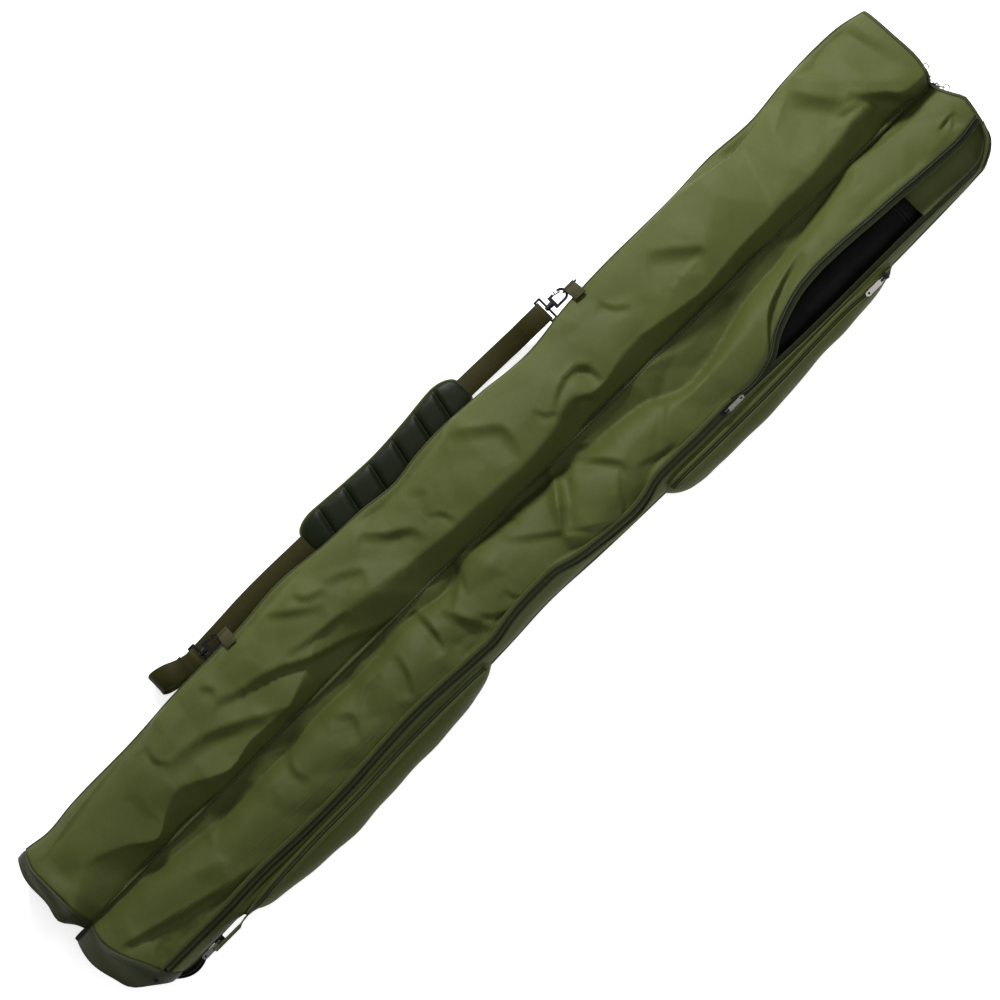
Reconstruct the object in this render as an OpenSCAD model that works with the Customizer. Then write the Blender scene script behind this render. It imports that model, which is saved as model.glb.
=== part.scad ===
// Rod case: a long two-lobed soft holdall for made-up fishing rods, lying on its back.
// +X runs to the zipped top end, +Y to the shoulder strap, and z = 0 is the back panel's underside.

/* [Bag] */
// Length from the base caps to the lip at the top end
bag_l = 1980; // [1600:10:2200]
// Width across both lobes
bag_w = 328; // [270:2:400]
// Height of the lobes
bag_h = 115; // [95:1:140]
// Height of the centre seam between the lobes
valley_h = 72; // [60:1:86]
// Height of the side seams, where the bag is widest
seam_h = 60; // [50:1:72]
// Thickness of the padded walls
wall = 4; // [3:0.5:5]
// Width of the centre seam
seam_w = 4; // [3:0.5:6]
// Length of the reinforced base caps
cap_l = 40; // [30:1:60]
// Depth of the lip beyond the top end wall
lip_l = 12; // [8:1:20]

/* [Mouth] */
// Length of the unzipped stretch of the main zip
mouth_l = 583; // [400:1:700]
// Distance from the lip to the end of the mouth
mouth_end = 30; // [24:1:50]
// Length over which the mouth opens to its full width
mouth_taper = 235; // [100:5:280]

/* [Zips] */
// Width of the main zip's two tapes together
zip_w = 16; // [12:1:20]
// Width of a zip's coil
coil_w = 7; // [5:0.5:8]
// Height of a coil above its tape
coil_h = 2; // [1.5:0.25:2.5]
// Width of a pocket zip's two tapes together
pocket_zip_w = 12; // [9:1:14]
// Width of the tape that binds the open edge of the front panel
edge_tape_w = 8; // [6:1:12]
// Place of the main zip round the lobe, in degrees above the side seam
zip_angle = 45; // [36:1:54]
// Length of the top zip
top_zip_l = 240; // [180:5:260]
// Height of the top zip
top_zip_z = 52; // [44:1:58]
// Length of a slider's tab
tab_l = 40; // [24:1:48]

/* [Pockets] */
// How far the pockets stand out beyond the side seam
pocket_out = 38; // [28:1:48]
// Height of the pockets
pocket_h = 76; // [60:1:80]
// Wall of the pockets
pocket_wall = 3; // [2:0.5:4]
// Length of the upper pocket
upper_pocket_l = 524; // [400:2:560]
// Distance from the lip to the upper pocket
upper_pocket_end = 265; // [230:5:300]
// Length of the lower pocket
lower_pocket_l = 652; // [450:2:690]
// Distance from the base to the lower pocket
lower_pocket_end = 140; // [140:5:190]

/* [Inside] */
// Height of the padded rod divider
divider_h = 50; // [36:1:56]
// Distance from the lip to the divider
divider_end = 290; // [200:10:400]
// Width of the rod sleeve
sleeve_w = 76; // [60:1:84]
// Length of the rod sleeve
sleeve_l = 500; // [400:5:520]
// Distance from the lip to the closed end of the sleeve
sleeve_end = 180; // [160:5:240]
// Wall of the rod sleeve
sleeve_wall = 3; // [2:0.5:4]
// Width of a rod strap
rod_strap_w = 30; // [20:1:40]
// Thickness of a rod strap
rod_strap_t = 2; // [1.5:0.5:3]

/* [Strap] */
// Width of the webbing
web_w = 36; // [30:1:38]
// Thickness of the webbing
web_t = 2; // [1.5:0.5:2.5]
// Place of the upper D-ring along the bag
upper_ring_x = 328; // [300:2:360]
// Place of the lower D-ring along the bag
lower_ring_x = -474; // [-500:2:-450]
// Length of the shoulder pad
pad_l = 362; // [300:2:380]
// Width of the shoulder pad
pad_w = 72; // [60:1:76]
// Thickness of the shoulder pad
pad_t = 12; // [9:1:12]
// Width between a D-ring's two sides
dring_w = 28; // [24:1:32]
// Radius of a D-ring's wire
dring_r = 1.75; // [1.5:0.05:2]
// Radius of the strap rings' wire
ring_r = 2; // [1.6:0.1:2.4]
// Width of a snap hook's eye
eye_w = 14; // [12:0.5:15]
// Length of a snap hook's eye
eye_l = 22; // [18:0.5:26]

/* [Hidden] */
$fn = 48;

arc_n = 10;
gap = 0.3;
fit = 0.08;
cut = 1;

fabric = [0.33, 0.36, 0.21];
coated = [0.25, 0.26, 0.19];
lining = [0.27, 0.29, 0.17];
neoprene = [0.06, 0.06, 0.065];
tape = [0.12, 0.17, 0.1];
web_colour = [0.27, 0.25, 0.14];
pad_colour = [0.13, 0.16, 0.1];
gunmetal = [0.24, 0.24, 0.26];
nickel = [0.6, 0.6, 0.58];

half_w = bag_w / 2;
lobe_y = bag_w / 4;
top_x = bag_l / 2;
base_x = -bag_l / 2;
cap_x = base_x + cap_l;
end_x = top_x - lip_l;
corner_y = half_w - seam_h;
mouth_x1 = top_x - mouth_end;
mouth_x0 = mouth_x1 - mouth_l;

// Arcs of one lobe's cross-section as [y, z] points, set in from the outside by g
function shoulder(y, z, g, t) = [y + (lobe_y - g) * cos(t), z + (bag_h - seam_h - g) * sin(t)];
function outer_arc(g, t0, t1) =
  [for (i = [0:arc_n]) shoulder(lobe_y, seam_h, g, t0 + (t1 - t0) * i / arc_n)];
function valley_angle(y) = acos((y - lobe_y) / lobe_y);
function inner_arc(g, y) = [for (i = [0:arc_n]) let (t = 90 + (valley_angle(y) - 90) * i / arc_n)
  [lobe_y + lobe_y * cos(t), valley_h - g + (bag_h - valley_h) * sin(t)]];
function corner_arc(g) = [for (i = [0:arc_n]) let (t = -90 + 90 * i / arc_n)
  [corner_y + (seam_h - g) * cos(t), seam_h + (seam_h - g) * sin(t)]];
function backwards(p) = [for (i = [len(p) - 1:-1:0]) p[i]];
function flipped(p) = [for (q = backwards(p)) [-q[0], q[1]]];

// The outer side from angle t0 to the top of the lobe, with a corner at the main zip
function upper_arc(g, t0) = concat(t0 < zip_angle ? outer_arc(g, t0, zip_angle) : [],
  outer_arc(g, zip_angle, 90));
// One lobe's whole outline, set in by g, with a straight side at y = side
function lobe_outline(g, side) =
  concat([[side, g]], corner_arc(g), upper_arc(g, 0), inner_arc(g, side));
// One lobe's upper wall, from angle t0 above the side seam to the centre seam
function lobe_wall(t0) = concat(upper_arc(0, t0), inner_arc(0, seam_w / 2),
  backwards(inner_arc(wall, seam_w / 2)), backwards(upper_arc(wall, t0)));

// A cross-section in [y, z], drawn out from x0 to x1
module along_x(x0, x1) {
  translate([x0, 0, 0]) rotate([90, 0, 90]) linear_extrude(x1 - x0) children();
}
module on_right() {
  mirror([0, 1, 0]) children();
}

// The main zip's centre line and the tilt of its face
zip_y = lobe_y + lobe_y * cos(zip_angle);
zip_z = seam_h + (bag_h - seam_h) * sin(zip_angle);
zip_tilt = atan2(cos(zip_angle) / lobe_y, sin(zip_angle) / (bag_h - seam_h));

// A band of the right side at the main zip, from a to b across it and from low to high
module zip_band(a, b, low, high) {
  translate([-zip_y, zip_z]) rotate(zip_tilt) translate([a, low]) square([b - a, high - low]);
}
module zip_slot() {
  zip_band(-zip_w / 2, zip_w / 2, -wall - cut, cut);
}

// Plan of the mouth, with its front edge moved inwards over the panel by g
function opening(s) = pow(s * s * (3 - 2 * s), 1.4);
mouth_steps = 8;
module mouth_plan(g) {
  edge_y = -zip_y + zip_w / 2;
  polygon(concat([[mouth_x1 + g, -lobe_y + g], [mouth_x1 + g, edge_y - 2 * zip_w],
    [mouth_x0 - g, edge_y - 2 * zip_w]], [for (i = [0:mouth_steps]) let (s = i / mouth_steps)
      [mouth_x0 + mouth_taper * s - g, edge_y + (-lobe_y + g - edge_y) * opening(s)]]));
}
module mouth_prism(g) {
  translate([0, 0, seam_h]) linear_extrude(bag_h) mouth_plan(g);
}

// ---- Panels ----
module front_left_panel() {
  color(fabric) along_x(cap_x, top_x) polygon(lobe_wall(0));
}
module front_right_shell() {
  along_x(cap_x, top_x) difference() {
    polygon(flipped(lobe_wall(zip_angle)));
    zip_slot();
  }
}
module front_right_panel() {
  color(fabric) difference() {
    front_right_shell();
    mouth_prism(edge_tape_w);
  }
}
module centre_seam() {
  seam_z = valley_h + (bag_h - valley_h) * sin(valley_angle(seam_w / 2));
  color(tape) translate([cap_x, -seam_w / 2, seam_z - 2 * wall])
    cube([top_x - cap_x, seam_w, 2 * wall]);
}
module back_panel() {
  outside = concat(flipped(corner_arc(0)), corner_arc(0));
  inside = concat(flipped(corner_arc(wall)), corner_arc(wall));
  color(fabric) along_x(cap_x, top_x) polygon(concat(outside, backwards(inside)));
}
module zip_gusset() {
  lower_wall = concat(outer_arc(0, 0, zip_angle), backwards(outer_arc(wall, 0, zip_angle)));
  color(fabric) along_x(cap_x, top_x) difference() {
    polygon(flipped(lower_wall));
    zip_slot();
  }
}
module end_wall() {
  difference() {
    along_x(end_x - wall, end_x) polygon(lobe_outline(wall, 0));
    translate([end_x - wall - cut, -top_zip_l / 2, top_zip_z - zip_w / 2])
      cube([wall + 2 * cut, top_zip_l, zip_w]);
  }
}
module top_end_left() {
  color(lining) difference() {
    end_wall();
    seam_notch();
  }
}
module top_end_right() {
  color(lining) difference() {
    on_right() end_wall();
    seam_notch();
  }
}
// Room in the end walls for the foot of the centre seam
module seam_notch() {
  translate([end_x - wall - cut, -seam_w / 2, valley_h - wall]) cube([wall + 2 * cut, seam_w, bag_h]);
}
module base_cap() {
  difference() {
    along_x(base_x, cap_x) polygon(lobe_outline(0, 0));
    along_x(base_x + wall, cap_x + cut) polygon(lobe_outline(wall, wall));
  }
}
module base_cap_left() {
  color(coated) base_cap();
}
module base_cap_right() {
  color(coated) on_right() base_cap();
}

// ---- Inside ----
module rod_divider() {
  color(lining) translate([cap_x, -wall / 2, wall])
    cube([top_x - divider_end - cap_x, wall, divider_h - wall]);
}
sleeve_h = bag_h - 2 * wall - 15;
sleeve_x1 = top_x - sleeve_end;
sleeve_x0 = sleeve_x1 - sleeve_l;
module sleeve_body(g, x0) {
  intersection() {
    along_x(x0, sleeve_x1) translate([-corner_y, wall + gap + sleeve_h / 2])
      polygon([for (t = [0:15:345]) [(sleeve_w / 2 - g) * cos(t), (sleeve_h / 2 - g) * sin(t)]]);
    translate([0, 0, -cut]) linear_extrude(bag_h) translate([0, -corner_y]) {
      translate([x0, -sleeve_w / 2]) square([sleeve_x1 - sleeve_w / 2 - x0, sleeve_w]);
      translate([sleeve_x1 - sleeve_w / 2, 0]) circle(r = sleeve_w / 2 - g);
    }
  }
}
module rod_sleeve() {
  color(neoprene) difference() {
    sleeve_body(0, sleeve_x0);
    sleeve_body(sleeve_wall, sleeve_x0 - cut);
  }
}
// Hook-and-loop straps, lying open on the back panel on both sides of the divider
module rod_strap(i) {
  strap_x = cap_x + (sleeve_x0 - cap_x) * (i - 0.5) / 3;
  color(neoprene) for (side = [wall / 2, -corner_y])
    translate([strap_x - rod_strap_w / 2, side, wall])
      cube([rod_strap_w, corner_y - wall / 2, rod_strap_t]);
}

// ---- Zips ----
module zip_profile(w, depth) {
  translate([-w / 2, -depth]) square([w, depth]);
  translate([-coil_w / 2, -depth / 2]) square([coil_w, depth / 2 + coil_h]);
}
module main_zip_chain() {
  color(tape) along_x(cap_x, mouth_x0 - edge_tape_w)
    translate([-zip_y, zip_z]) rotate(zip_tilt) zip_profile(zip_w, wall);
}
module main_zip_front_tape() {
  color(tape) difference() {
    intersection() {
      front_right_shell();
      mouth_prism(edge_tape_w);
    }
    mouth_prism(0);
  }
}
module main_zip_back_tape() {
  color(tape) along_x(mouth_x0 - edge_tape_w, top_x) zip_band(-zip_w / 2, -coil_w / 4, -wall, 0);
}
module main_zip_stop() {
  color(nickel) translate([cap_x, -zip_y, zip_z]) rotate([zip_tilt, 0, 0])
    translate([6, -coil_w / 2, coil_h]) cube([5, coil_w, 1]);
}
top_zip_face = end_x;
module top_zip_chain() {
  color(tape) translate([top_zip_face, top_zip_l / 2, top_zip_z]) rotate([90, 0, 0])
    linear_extrude(top_zip_l) rotate(-90) zip_profile(zip_w, wall);
}
module top_zip_stops() {
  color(nickel) for (s = [-1, 1])
    translate([top_zip_face + coil_h, s * (top_zip_l / 2 - 6) - 2.5, top_zip_z - coil_w / 2])
      cube([1, 5, coil_w]);
}

// Sliders: x runs along the zip, z away from its face, and z = 0 is the top of the coil
slider_l = 18;
slider_w = 13;
plate_t = 2;
bridge_w = 3;
pin_z = gap + plate_t + 1.35;
pin_r = 0.9;
module slider() {
  color(gunmetal) {
    translate([0, 0, gap]) linear_extrude(plate_t)
      polygon([[-slider_l / 2, -slider_w * 0.36], [0, -slider_w * 0.38], [slider_l / 2, -slider_w / 2],
        [slider_l / 2, slider_w / 2], [0, slider_w * 0.38], [-slider_l / 2, slider_w * 0.36]]);
    for (s = [-1, 1])
      translate([-slider_l / 2, s * (coil_w / 2 + 0.75) - 0.4, gap - coil_h + 0.2])
        cube([slider_l, 0.8, coil_h]);
    difference() {
      translate([-5, -bridge_w / 2, gap + plate_t - 0.2]) cube([10, bridge_w, 4.4]);
      translate([-3, -bridge_w, gap + plate_t]) cube([6, 2 * bridge_w, 2.7]);
    }
  }
}
// The eye of a tab: a cross pin under the bridge, and an arm on each side
module puller_eye(reach) {
  arm_y = bridge_w / 2 + 0.4;
  arm_w = 1.4;
  translate([0, 0, pin_z]) {
    rotate([90, 0, 0]) cylinder(r = pin_r, h = 2 * (arm_y + arm_w), center = true);
    for (s = [-1, 1])
      translate([0, s * (arm_y + arm_w / 2) - arm_w / 2, -pin_r + 0.1])
        cube([reach, arm_w, 2 * pin_r - 0.2]);
  }
}
module tab_puller(length) {
  color(nickel) {
    puller_eye(8);
    translate([0, 0, pin_z - pin_r + 0.1]) linear_extrude(2 * pin_r - 0.2) difference() {
      union() {
        translate([7, -4.5]) square([length - 11.5, 9]);
        translate([length - 4.5, 0]) circle(r = 4.5);
      }
      translate([length - 6, 0]) circle(r = 2);
    }
  }
}
// A short link with a wire ring through its eye, swung out from the zip by ring_swing
link_l = 10;
link_ring_r = 5.5;
wire_r = 0.9;
ring_swing = 30;
module link_puller() {
  color(nickel) translate([0, 0, pin_z]) rotate([0, -ring_swing, 0]) translate([0, 0, -pin_z]) {
    puller_eye(link_l - 1);
    translate([0, 0, pin_z - pin_r + 0.1]) linear_extrude(2 * pin_r - 0.2) difference() {
      union() {
        translate([6.2, -3.3]) square([link_l - 6.2, 6.6]);
        translate([link_l, 0]) circle(r = 3.3);
      }
      translate([link_l, 0]) circle(r = wire_r + 0.35);
    }
  }
}
module link_ring() {
  color(nickel) translate([0, 0, pin_z]) rotate([0, -ring_swing, 0])
    translate([link_l + link_ring_r, 0, 0]) rotate([90, 0, 0])
      rotate_extrude() translate([link_ring_r, 0]) circle(r = wire_r);
}

// Where each slider stands
main_slider_x = mouth_x0 - edge_tape_w - slider_l / 2 - 2;
module at_main_zip() {
  translate([main_slider_x, -zip_y, zip_z]) rotate([zip_tilt, 0, 0])
    translate([0, 0, coil_h]) children();
}
top_slider_y = [slider_l / 2 + 2, -slider_l / 2 - 2];
module at_top_zip(y, turn) {
  translate([top_zip_face + coil_h, y, top_zip_z]) rotate([0, 90, 0]) rotate([0, 0, turn]) children();
}
upper_pocket_x1 = top_x - upper_pocket_end;
upper_pocket_x0 = upper_pocket_x1 - upper_pocket_l;
lower_pocket_x0 = base_x + lower_pocket_end;
lower_pocket_x1 = lower_pocket_x0 + lower_pocket_l;
pocket_zip_in = 14;
upper_slider_x = upper_pocket_x1 - pocket_zip_in - slider_l;
lower_slider_x = lower_pocket_x0 + pocket_zip_in + slider_l / 2 + 2;
module at_pocket_zip(x, turn) {
  translate([x, -pocket_zip_y, pocket_zip_z]) rotate([pocket_zip_tilt, 0, 0])
    translate([0, 0, coil_h]) rotate([0, 0, turn]) children();
}

// ---- Pockets ----
pocket_z = 52;
pocket_in = 14;
pocket_y = half_w - pocket_in;
pocket_a = pocket_out + pocket_in;
pocket_b = pocket_h / 2;
pocket_zip_angle = 69;
pocket_zip_y = pocket_y + pocket_a * cos(pocket_zip_angle);
pocket_zip_z = pocket_z + pocket_b * sin(pocket_zip_angle);
pocket_zip_tilt = atan2(cos(pocket_zip_angle) / pocket_a, sin(pocket_zip_angle) / pocket_b);
module pocket_zip_band(depth) {
  translate([-pocket_zip_y, pocket_zip_z]) rotate(pocket_zip_tilt)
    translate([-pocket_zip_w / 2, -depth]) square([pocket_zip_w, depth + cut]);
}
module pocket_body(x0, x1, g) {
  round_r = pocket_out;
  intersection() {
    along_x(x0 + g, x1 - g) translate([-pocket_y, pocket_z])
      polygon([for (t = [0:10:350]) [(pocket_a - g) * cos(t), (pocket_b - g) * sin(t)]]);
    linear_extrude(bag_h) {
      translate([x0 + g, -half_w]) square([x1 - x0 - 2 * g, half_w]);
      translate([x0 + round_r, -half_w - pocket_out]) square([x1 - x0 - 2 * round_r, pocket_out]);
      for (x = [x0 + round_r, x1 - round_r]) translate([x, -half_w]) circle(r = round_r - g);
    }
  }
}
module pocket(x0, x1) {
  color(fabric) difference() {
    pocket_body(x0, x1, 0);
    pocket_body(x0, x1, pocket_wall);
    along_x(x0 - cut, x1 + cut) polygon(flipped(lobe_outline(0, 0)));
    along_x(x0 + pocket_zip_in, x1 - pocket_zip_in) pocket_zip_band(pocket_wall + cut);
  }
}
module pocket_zip(x0, x1) {
  color(tape) along_x(x0 + pocket_zip_in, x1 - pocket_zip_in)
    translate([-pocket_zip_y, pocket_zip_z]) rotate(pocket_zip_tilt)
      zip_profile(pocket_zip_w, pocket_wall);
}

end_tab_l = 78;
end_tab_w = 24;
// Stiff tab at the foot of the zips, held while the slider is drawn
module zip_end_tab() {
  tab_x = lower_pocket_x0 - end_tab_l / 2 - 1;
  color(neoprene) difference() {
    translate([tab_x, -half_w + 6, seam_h - 14]) linear_extrude(3)
      polygon([for (t = [0:10:350]) [end_tab_l / 2 * cos(t), end_tab_w * sin(t)]]);
    along_x(tab_x - end_tab_l, tab_x + end_tab_l) polygon(flipped(lobe_outline(0, 0)));
  }
}

// ---- Strap: D-rings, rings, hooks, webbing, pad and adjuster ----
axis_y = half_w + 18.5;
axis_z = 42;
hook_z = axis_z - 8;
tab_w = dring_w - 2 * dring_r - 2.5;
module ring_tab(x) {
  loop_r = dring_r + fit + web_t;
  color(web_colour) translate([x, 0, 0]) difference() {
    union() {
      translate([0, axis_y, axis_z]) rotate([0, 90, 0]) cylinder(r = loop_r, h = tab_w, center = true);
      translate([-tab_w / 2, 0, 0]) rotate([90, 0, 90]) linear_extrude(tab_w)
        polygon([[axis_y - loop_r, axis_z], [axis_y + loop_r * 0.7, axis_z + loop_r * 0.7],
          [half_w, seam_h + 10], [half_w - 12, seam_h + 10], [half_w - 12, seam_h - 6]]);
    }
    translate([0, axis_y, axis_z]) rotate([0, 90, 0])
      cylinder(r = dring_r + fit, h = tab_w + 2 * cut, center = true);
    along_x(-tab_w, tab_w) polygon(lobe_outline(0, 0));
  }
}
module d_ring(x) {
  drop = 10.5;
  arc_r = dring_w / 2;
  color(gunmetal) translate([x, axis_y, axis_z]) {
    rotate([0, 90, 0]) cylinder(r = dring_r, h = dring_w, center = true);
    for (s = [-1, 1]) {
      translate([s * arc_r, 0, 0]) sphere(r = dring_r);
      translate([s * arc_r, 0, -drop]) cylinder(r = dring_r, h = drop);
    }
    translate([0, 0, -drop]) rotate([-90, 0, 0])
      rotate_extrude(angle = 180) translate([arc_r, 0]) circle(r = dring_r);
  }
}

// Hooks and strap rings: x points to the D-ring, and x = 0 is the face of the swivel collar
post_r = 2;
boss_r = 4.5;
collar_r = 5;
collar_l = 5.7;
bar_near = -4;
bar_far = -14;
ring_half = web_w / 2 + 2.6;
eye_x0 = collar_l + gap + 6;
eye_x1 = eye_x0 + eye_l;
hook_rim = 4.5;
hook_t = 4.4;
// The eye's end sits on the D-ring's near side
hook_from_ring = dring_w / 2 + eye_x1 - dring_r - gap;
module at_hook(ring_x) {
  translate([ring_x - hook_from_ring, axis_y, hook_z]) children();
}
module bar(a, b, r) {
  d = b - a;
  translate(a) rotate([0, acos(d[2] / norm(d)), atan2(d[1], d[0])]) cylinder(r = r, h = norm(d));
}
module strap_ring() {
  corners = [[bar_near, ring_half, 0], [bar_near, -ring_half, 0], [bar_far, -ring_half, 0],
    [bar_far, ring_half, 0]];
  color(gunmetal) difference() {
    union() {
      for (i = [0:3]) {
        bar(corners[i], corners[(i + 1) % 4], ring_r);
        translate(corners[i]) sphere(r = ring_r);
      }
      translate([bar_near - 2.5, 0, 0]) rotate([0, 90, 0]) cylinder(r = boss_r, h = -bar_near + 2.5);
    }
    translate([bar_near - 6, 0, 0]) rotate([0, 90, 0]) cylinder(r = post_r + fit, h = 12);
  }
}
gate_x = eye_x0 + 1.5;
gate_y = eye_w / 2 + 2;
gate_tip_x = eye_x1 - eye_w / 2 + 2;
gate_tip_y = eye_w / 2 - 2;
gate_r = 1;
gate_t = 2;
gate_angle = atan2(gate_tip_y - gate_y, gate_tip_x - gate_x);
gate_l = norm([gate_tip_x - gate_x, gate_tip_y - gate_y]);
module snap_hook() {
  nose_r = eye_w / 2 + hook_rim;
  nose_x = eye_x1 - eye_w / 2;
  color(gunmetal) {
    translate([bar_near - 2.5 - gap, 0, 0]) rotate([0, 90, 0])
      cylinder(r = post_r, h = collar_l - bar_near + 2.5);
    translate([bar_near - 2.5 - gap - 1.8, 0, 0]) rotate([0, 90, 0]) cylinder(r = 3.4, h = 1.8);
    translate([gap, 0, 0]) rotate([0, 90, 0]) cylinder(r = collar_r, h = collar_l);
    difference() {
      linear_extrude(hook_t, center = true) difference() {
        union() {
          translate([nose_x, 0]) circle(r = nose_r);
          translate([collar_l, -nose_r]) square([nose_x - collar_l, 2 * nose_r]);
        }
        translate([nose_x, 0]) circle(r = eye_w / 2);
        translate([eye_x0, -eye_w / 2]) square([nose_x - eye_x0, eye_w]);
        translate([gate_x + 3.4, 0]) square([nose_x - gate_x - 4.4, nose_r + cut]);
      }
      // Fork for the gate
      translate([gate_x - 3.2, gate_y - 3.4, -gate_t / 2 - gap]) cube([12, 9, gate_t + 2 * gap]);
    }
    translate([gate_x, gate_y, 0]) cylinder(r = gate_r, h = hook_t - 0.2, center = true);
  }
}
module snap_gate() {
  color(nickel) translate([gate_x, gate_y, 0]) rotate([0, 0, gate_angle])
    linear_extrude(gate_t, center = true) difference() {
      union() {
        circle(r = 2.2);
        translate([0, -1]) square([gate_l, 2]);
        translate([5.4, 0]) square([2, 6]);
      }
      circle(r = gate_r + fit);
    }
}

// Webbing as a ribbon: points are [x, y, z] of its middle line, and its width lies along Y
function unit2(v) = v / norm(v);
function flat_dir(p, i) = unit2([p[min(i + 1, len(p) - 1)][0] - p[max(i - 1, 0)][0],
  p[min(i + 1, len(p) - 1)][2] - p[max(i - 1, 0)][2]]);
module ribbon(p) {
  n = len(p);
  corner = [[1, 1], [-1, 1], [-1, -1], [1, -1]];
  points = [for (i = [0:n - 1]) let (d = flat_dir(p, i)) for (c = corner)
    [p[i][0] - d[1] * c[1] * web_t / 2, p[i][1] + c[0] * web_w / 2, p[i][2] + d[0] * c[1] * web_t / 2]];
  sides = [for (i = [0:n - 2]) for (k = [0:3])
    [4 * i + k, 4 * i + (k + 1) % 4, 4 * i + 4 + (k + 1) % 4, 4 * i + 4 + k]];
  polyhedron(points, concat([[3, 2, 1, 0]], sides, [[4 * n - 4, 4 * n - 3, 4 * n - 2, 4 * n - 1]]));
}
wrap_r = ring_r + 0.2 + web_t / 2;
function wrap(x, y, z) = concat([[x - 26, y, z - wrap_r + 1.2], [x - 14, y, z - wrap_r], [x, y, z - wrap_r]],
  [for (t = [-60:30:60]) [x + wrap_r * cos(t), y, z + wrap_r * sin(t)]], [[x, y, z + wrap_r]]);
web_z = web_t / 2 + 3;
pad_y_mid = half_w + 13;
pad_y_end = half_w + 23;
pad_x1 = 92;
pad_x0 = pad_x1 - pad_l;
function bar_x(ring_x) = ring_x - hook_from_ring + bar_far;
module upper_webbing() {
  x = bar_x(upper_ring_x);
  dy = pad_y_end - axis_y;
  color(web_colour) ribbon(concat(wrap(x, axis_y, hook_z), [[x - 26, axis_y + dy * 0.1, hook_z + 1.4],
    [x - 70, axis_y + dy * 0.4, hook_z * 0.45], [x - 100, axis_y + dy * 0.6, web_z + 3],
    [x - 125, axis_y + dy * 0.8, web_z], [pad_x1, pad_y_end, web_z]]));
}
fold_x = -70;
module lower_webbing() {
  x = bar_x(lower_ring_x);
  fold_r = (hook_z - web_z) / 2;
  fold_z = web_z + fold_r;
  color(web_colour) ribbon(concat(wrap(x, axis_y, hook_z), [[x - 26, axis_y + 5, hook_z + 0.6]],
    [for (t = [90:30:270]) [x + fold_x + fold_r + fold_r * cos(t), axis_y + 14 - (t - 90) / 180 * 12,
      fold_z + fold_r * sin(t)]], [[pad_x0, pad_y_end, web_z]]));
}
module shoulder_pad() {
  steps = 12;
  function edge(side) = [for (i = [-steps:steps]) let (s = i / steps)
    [(pad_x0 + pad_x1) / 2 + s * pad_l / 2, pad_y_mid + (pad_y_end - pad_y_mid) * s * s
      + side * (web_w / 2 + 1 + (pad_w / 2 - web_w / 2 - 1) * sqrt(1 - pow(s, 8)))]];
  color(pad_colour) linear_extrude(pad_t) polygon(concat(edge(-1), backwards(edge(1))));
}
// Three-bar slide on the flat stretch of the lower webbing
slide_len = 24;
fold_end_x = bar_x(lower_ring_x) + fold_x + (hook_z - web_z) / 2;
slide_turn = atan2(pad_y_end - axis_y - 2, pad_x0 - fold_end_x);
module strap_adjuster() {
  rail_y = web_w / 2 + 1.2;
  color(gunmetal) translate([fold_end_x, axis_y + 2, web_z]) rotate([0, 0, slide_turn])
    translate([20, 0, 0]) {
      for (s = [-1, 1])
        translate([-slide_len / 2, s * (rail_y + 1.25) - 1.25, -web_t / 2 - 2.6])
          cube([slide_len, 2.5, web_t + 5.2]);
      for (x = [-slide_len / 2, slide_len / 2 - 4])
        translate([x, -rail_y, -web_t / 2 - 2.6]) cube([4, 2 * rail_y, 2.3]);
      translate([-2, -rail_y, web_t / 2 + gap]) cube([4, 2 * rail_y, 2.3]);
    }
}

front_left_panel();
front_right_panel();
centre_seam();
back_panel();
zip_gusset();
top_end_left();
top_end_right();
base_cap_left();
base_cap_right();
rod_divider();
rod_sleeve();
rod_strap(1);  // rod_strap_1
rod_strap(2);  // rod_strap_2
rod_strap(3);  // rod_strap_3
main_zip_chain();
main_zip_front_tape();
main_zip_back_tape();
main_zip_stop();
top_zip_chain();
top_zip_stops();
pocket(upper_pocket_x0, upper_pocket_x1);  // upper_pocket
pocket_zip(upper_pocket_x0, upper_pocket_x1);  // upper_pocket_zip
pocket(lower_pocket_x0, lower_pocket_x1);  // lower_pocket
pocket_zip(lower_pocket_x0, lower_pocket_x1);  // lower_pocket_zip
zip_end_tab();
ring_tab(upper_ring_x);  // upper_ring_tab
ring_tab(lower_ring_x);  // lower_ring_tab
at_main_zip() slider();  // main_slider
at_main_zip() tab_puller(tab_l);  // main_puller
at_top_zip(top_slider_y[0], 90) slider();  // top_left_slider
at_top_zip(top_slider_y[0], 90) link_puller();  // top_left_link
at_top_zip(top_slider_y[0], 90) link_ring();  // top_left_ring
at_top_zip(top_slider_y[1], -90) slider();  // top_right_slider
at_top_zip(top_slider_y[1], -90) link_puller();  // top_right_link
at_top_zip(top_slider_y[1], -90) link_ring();  // top_right_ring
at_pocket_zip(upper_slider_x, 0) slider();  // upper_pocket_slider
at_pocket_zip(upper_slider_x, 180) tab_puller(tab_l);  // upper_pocket_puller
at_pocket_zip(lower_slider_x, 180) slider();  // lower_pocket_slider
at_pocket_zip(lower_slider_x, 180) tab_puller(tab_l);  // lower_pocket_puller
d_ring(upper_ring_x);  // upper_d_ring
d_ring(lower_ring_x);  // lower_d_ring
at_hook(upper_ring_x) strap_ring();  // upper_strap_ring
at_hook(lower_ring_x) strap_ring();  // lower_strap_ring
upper_webbing();
lower_webbing();
shoulder_pad();
strap_adjuster();
at_hook(upper_ring_x) snap_hook();  // upper_snap_hook
at_hook(upper_ring_x) snap_gate();  // upper_snap_gate
at_hook(lower_ring_x) snap_hook();  // lower_snap_hook
at_hook(lower_ring_x) snap_gate();  // lower_snap_gate
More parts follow.
